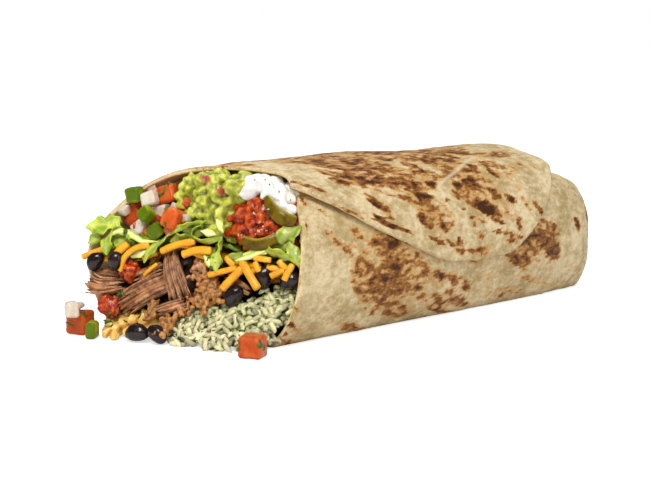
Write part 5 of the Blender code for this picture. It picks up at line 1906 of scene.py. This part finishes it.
@dataclass(frozen=True)
class GlowFinish(Finish):
    """Matt pale studio floor, bright enough to meet its surroundings."""

    colour: Colour = (0.84, 0.84, 0.84)
    glow: float = 0.62

    def wire(self, kit: Kit) -> None:
        """Join up the material's nodes."""
        seen = kit.add("LightPath", "Is Camera Ray", {})
        kit.set(Base_Color=self.colour, Roughness=0.9, Emission_Color=(1.0, 1.0, 1.0),
                Emission_Strength=kit.math("MULTIPLY", seen, self.glow))


@dataclass(frozen=True)
class Lamp:
    """A square soft light."""

    name: str
    place: Triple
    size: float
    power: float


@dataclass(frozen=True)
class Studio:
    """Floor, lights and the camera at the photo's angle."""

    sky: float = 0.52
    mirror: float = 0.12
    floor_reach: float = 60.0
    lamps: tuple[Lamp, ...] = (
        Lamp("key", (-0.80, -0.45, 0.95), 0.45, 11.0), Lamp("fill", (0.15, -1.2, 0.45), 0.7, 2.4),
        Lamp("rim", (0.3, 0.6, 0.95), 0.5, 3.0))

    def floor(self) -> None:
        """Lay the pale floor."""
        bm = bmesh.new()
        bmesh.ops.create_grid(bm, x_segments=1, y_segments=1, size=self.floor_reach)
        mesh = bpy.data.meshes.new("studio_floor")
        bm.to_mesh(mesh)
        bm.free()
        made = bpy.data.objects.new("studio_floor", mesh)
        bpy.context.scene.collection.objects.link(made)
        mesh.materials.append(GlowFinish("floor_finish").material())

    @staticmethod
    def hang(lamp: Lamp) -> None:
        """Hang a lamp that looks at the mouth."""
        data = bpy.data.lights.new(lamp.name, "AREA")
        data.shape = "SQUARE"
        data.size = lamp.size
        data.energy = lamp.power
        made = bpy.data.objects.new(lamp.name, data)
        way = Vector((-0.03, 0, 0.03)) - Vector(lamp.place)
        turn = way.to_track_quat("-Z", "Y").to_matrix().to_4x4()
        made.matrix_world = Matrix.Translation(lamp.place) @ turn
        bpy.context.scene.collection.objects.link(made)

    @staticmethod
    def camera() -> None:
        """Stand the camera where the photo was taken from."""
        right, up, ahead = VIEW.axes()
        data = bpy.data.cameras.new("camera")
        data.lens = VIEW.lens
        data.sensor_width = VIEW.film
        data.clip_start = 0.01
        made = bpy.data.objects.new("camera", data)
        turn = Matrix((right, up, -ahead)).transposed().to_4x4()
        made.matrix_world = Matrix.Translation(Vector(VIEW.place) * MM) @ turn
        bpy.context.scene.collection.objects.link(made)
        bpy.context.scene.camera = made

    def light(self) -> None:
        """Set the pale surroundings, seen white by the camera, and the lamps."""
        world = bpy.data.worlds.new("studio")
        world.use_nodes = True
        tree = world.node_tree
        back = tree.nodes["Background"]
        back.inputs["Color"].default_value = (1, 1, 1, 1)
        rays = tree.nodes.new("ShaderNodeLightPath").outputs
        below: object = self.sky
        for ray, more in (("Is Camera Ray", 1.0 - self.sky), ("Is Glossy Ray", self.mirror - self.sky)):
            node = tree.nodes.new("ShaderNodeMath")
            node.operation = "MULTIPLY_ADD"
            tree.links.new(rays[ray], node.inputs[0])
            node.inputs[1].default_value = more
            if isinstance(below, float):
                node.inputs[2].default_value = below
            else:
                tree.links.new(below, node.inputs[2])
            below = node.outputs[0]
        tree.links.new(below, back.inputs["Strength"])
        scene = bpy.context.scene
        scene.world = world
        scene.view_settings.view_transform = "Standard"
        for lamp in self.lamps:
            self.hang(lamp)

    def build(self) -> None:
        """Set the whole studio."""
        self.floor()
        self.camera()
        self.light()


def numbered(stem: str, count: int) -> tuple[str, ...]:
    """Names of numbered nodes."""
    return tuple(f"{stem}_{k}" for k in range(1, count + 1))


def pieces() -> list[Piece]:
    """Every piece of the burrito, in the order it is made."""
    guacamole = FoodFinish("guacamole_finish", (0.32, 0.34, 0.012), (0.62, 0.64, 0.10),
                           (0.40, 0.105, 0.05), mottle=2.8, rough=0.32, glow=0.12,
                           glow_colour=(0.8, 0.9, 0.2), bump=0.14, coat=0.1, shading=(0.16, 1.27))
    cream = FoodFinish("cream_finish", (0.84, 0.83, 0.76), (0.92, 0.915, 0.87), (0.95, 0.95, 0.9),
                       mottle=6.0, rough=0.35, glow=0.2, glow_colour=(0.9, 0.9, 0.8), bump=0.05,
                       shading=(0.75, 1.08))
    salsa = FoodFinish("salsa_finish", (0.30, 0.012, 0.002), (0.62, 0.10, 0.010),
                       (0.7, 0.2, 0.05), mottle=3.0, contrast=(0.38, 0.64), rough=0.22, glow=0.1,
                       glow_colour=(1.0, 0.25, 0.08), bump=0.14, bump_size=0.9, coat=0.12,
                       shading=(0.16, 1.3))
    melted = FoodFinish("melted_finish", (0.84, 0.45, 0.07), (0.96, 0.66, 0.24),
                        (0.95, 0.7, 0.35), mottle=3.0, rough=0.3, glow=0.2,
                        glow_colour=(1.0, 0.6, 0.2), bump=0.06, coat=0.1, shading=(0.45, 1.2))
    tomato = FoodFinish("tomato_finish", (0.54, 0.065, 0.008), (0.74, 0.15, 0.026),
                        (0.40, 0.02, 0.006), mottle=4.0, contrast=(0.25, 0.75), rough=0.26, glow=0.15,
                        glow_colour=(1.0, 0.3, 0.12), bump=0.14, coat=0.06, shine=0.2,
                        shading=(0.6, 1.15))
    onion = FoodFinish("onion_finish", (0.66, 0.53, 0.40), (0.86, 0.77, 0.64), (0.74, 0.52, 0.44),
                       mottle=5.0, contrast=(0.2, 0.8), rough=0.2, glow=0.3,
                       glow_colour=(0.9, 0.7, 0.6), bump=0.05, coat=0.2, shading=(0.7, 1.1))
    pepper = FoodFinish("pepper_finish", (0.13, 0.18, 0.001), (0.33, 0.36, 0.006),
                        (0.085, 0.145, 0.001), mottle=4.0, contrast=(0.25, 0.75), rough=0.24, glow=0.08,
                        glow_colour=(0.6, 1.0, 0.1), bump=0.06, coat=0.06, shine=0.2,
                        shading=(0.6, 1.2))
    return [
        Tortilla("tortilla_skin", ("tortilla",), "tortilla"),
        Rice("rice_grains", ("rice",), "rice", 3),
        Beef("beef_shreds", ("shredded_beef",), "beef", 5),
        Cheddar("cheddar_shreds", ("shredded_cheddar",), "cheddar", 6),
        LettuceCore("lettuce_core", ("lettuce",), "lettuce", 7),
        Lettuce("lettuce_leaves", ("lettuce",), "lettuce", 8),
        Pico("pico_bits", ("pico_de_gallo",), "pico", 9),
        Sauce("guacamole_paste", ("guacamole",), "guacamole", 10, look=guacamole, lumps=76,
              spacing=2.7, lump_size=(1.5, 4.6), stand=1.3, skin=0.46, fine=0.24, fine_size=2.6,
              rise=2.0, rounds_after=5, gain=1.7, tinted=((2.4, 66.2, 2.0), (-5.5, 61.5, 2.0)),
              extra=((13, 62.7, 0.4, 2.3), (12.8, 58.6, 1.0, 2.3), (11, 55.3, 1.2, 2.2),
                     (12.1, 65.6, 0.0, 1.8), (5.4, 52.2, 1.4, 2.2), (1.2, 51.2, 1.6, 2.0))),
        Sauce("sour_cream_dollop", ("sour_cream",), "cream", 11, look=cream, lumps=16, spacing=4.0,
              lump_size=(2.4, 4.2), skin=0.55, fine=0.22, fine_size=3.0, rounds_after=4, rise=3.2,
              gain=0.9, extra=((-33.5, 56.5, -0.8, 2.8), (-30.5, 60, -0.4, 3.0), (-36, 52, -1.0, 2.4),
                               (-26, 63.5, 0.2, 3.2), (-36.5, 55.5, -2.0, 2.4))),
        Sauce("salsa_chunks", ("salsa",), "salsa", 12, look=salsa, lumps=60, spacing=2.4,
              lump_size=(1.4, 3.8), stand=1.4, skin=0.43, fine=0.22, fine_size=2.4, chunky=True,
              sink=1.0, rounds_after=4, gain=1.5),
        Sauce("melted_cheese_lumps", ("melted_cheese",), "melted_cheese", 13, look=melted, lumps=34,
              spacing=2.4, lump_size=(1.5, 2.9), stand=2.0, skin=0.42, fine=0.16, fine_size=2.0,
              rounds_after=3, gain=1.0,
              extra=((27.0, 4.2, 1.0, 2.4), (24.0, 1.8, 1.6, 2.2), (24.4, 6.3, 0.8, 2.4),
                     (18.2, 3.6, 1.0, 2.4), (20.9, 8.0, 0.6, 2.2), (29.5, 2.0, 1.4, 1.8))),
        Drops("salsa_drops", numbered("salsa_drop", 2), "salsa", 14, look=salsa),
        Dices("tomato_dices", numbered("tomato_dice", 5), "tomato", 15, look=tomato),
        Dices("onion_dices", numbered("onion_dice", 5), "onion", 16, look=onion, rough=0.1),
        Dices("pepper_dices", numbered("pepper_dice", 4), "pepper", 17, look=pepper, rough=0.08,
              skin_share=0.9),
        Beans("black_beans", numbered("black_bean", 8), "bean", 18),
        Peppers("jalapeno_slices", numbered("jalapeno_slice", 2), "jalapeno", 19)]


def scraps(under: tuple[Object, ...]) -> list[Piece]:
    """Herbs and seeds that lie on the finished pieces."""
    herb = FoodFinish("herb_finish", (0.035, 0.085, 0.004), (0.11, 0.21, 0.012), (0.2, 0.4, 0.05),
                      mottle=1.5, rough=0.4, glow=0.05, glow_colour=(0.5, 1.0, 0.1), bump=0.05)
    seed = FoodFinish("seed_finish", (0.80, 0.62, 0.28), (0.90, 0.74, 0.42), (0.9, 0.8, 0.5),
                      mottle=1.5, rough=0.3, glow=0.2, glow_colour=(1.0, 0.8, 0.4), bump=0.02)
    leaves = ((22.5, 59.1, 1.4), (21.6, 61.2, 1.5), (20.4, 63.8, 1.6), (19.6, 66.2, 1.2),
              (15.7, 54.9, 1.9), (14.4, 53.6, 1.4), (13.5, 47.1, 1.1), (30.5, 17.9, 1.5),
              (33.9, 18.3, 1.8), (32.2, 17.0, 1.4), (32.2, 6.3, 2.0), (25.4, 9.1, 1.3),
              (27.4, 5.1, 1.1), (20, 9.5, 1.3), (32.6, 9.1, 1.4), (30.0, 7.0, 1.6), (23, 7.2, 0.9),
              (-20.5, 66.5, 0.5), (-27, 64.8, 0.5), (-31.5, 62.2, 0.5), (-34.8, 59.5, 0.5),
              (-24.0, 66.8, 0.4), (-29, 66.6, 0.4), (17.6, 13.4, 0.9), (36.4, 8.6, 1.2))
    seeds = ((-27, 46.3, 0.8), (-29.4, 46.8, 0.7), (-27.9, 48.3, 0.8), (-26.5, 49.9, 0.7),
             (-25.5, 45.0, 0.7), (-30.2, 55, 0.7), (-21.4, 53.3, 0.7), (-17.4, 44.5, 0.6),
             (-24.4, 56.5, 0.6))
    return [
        Scraps("herb_flecks", (), "rice", 4, look=herb, under=under, spots=leaves, flecks=110,
               floor_spots=((-116.2, -47.8, 5.2, 1.9), (-115.2, -48.9, 3.6, 1.4),
                            (-121.6, -41.7, 6.2, 1.2), (-121.8, -41.5, 3.4, 1.3),
                            (-131.2, 48.7, 9.0, 1.7), (-131.6, 49.2, 4.5, 1.7),
                            (-128.2, 43.5, 9, 1.5))),
        Scraps("salsa_seeds", (), "salsa", 20, look=seed, under=under, spots=seeds, flat=0.3)]


def main() -> None:
    """Build every piece and the studio."""
    logging.basicConfig(level=logging.INFO, format="%(name)s: %(message)s")
    Studio().build()
    made = tuple(piece.place() for piece in pieces())
    for piece in scraps(made):
        piece.place()


if __name__ == "__main__":
    main()
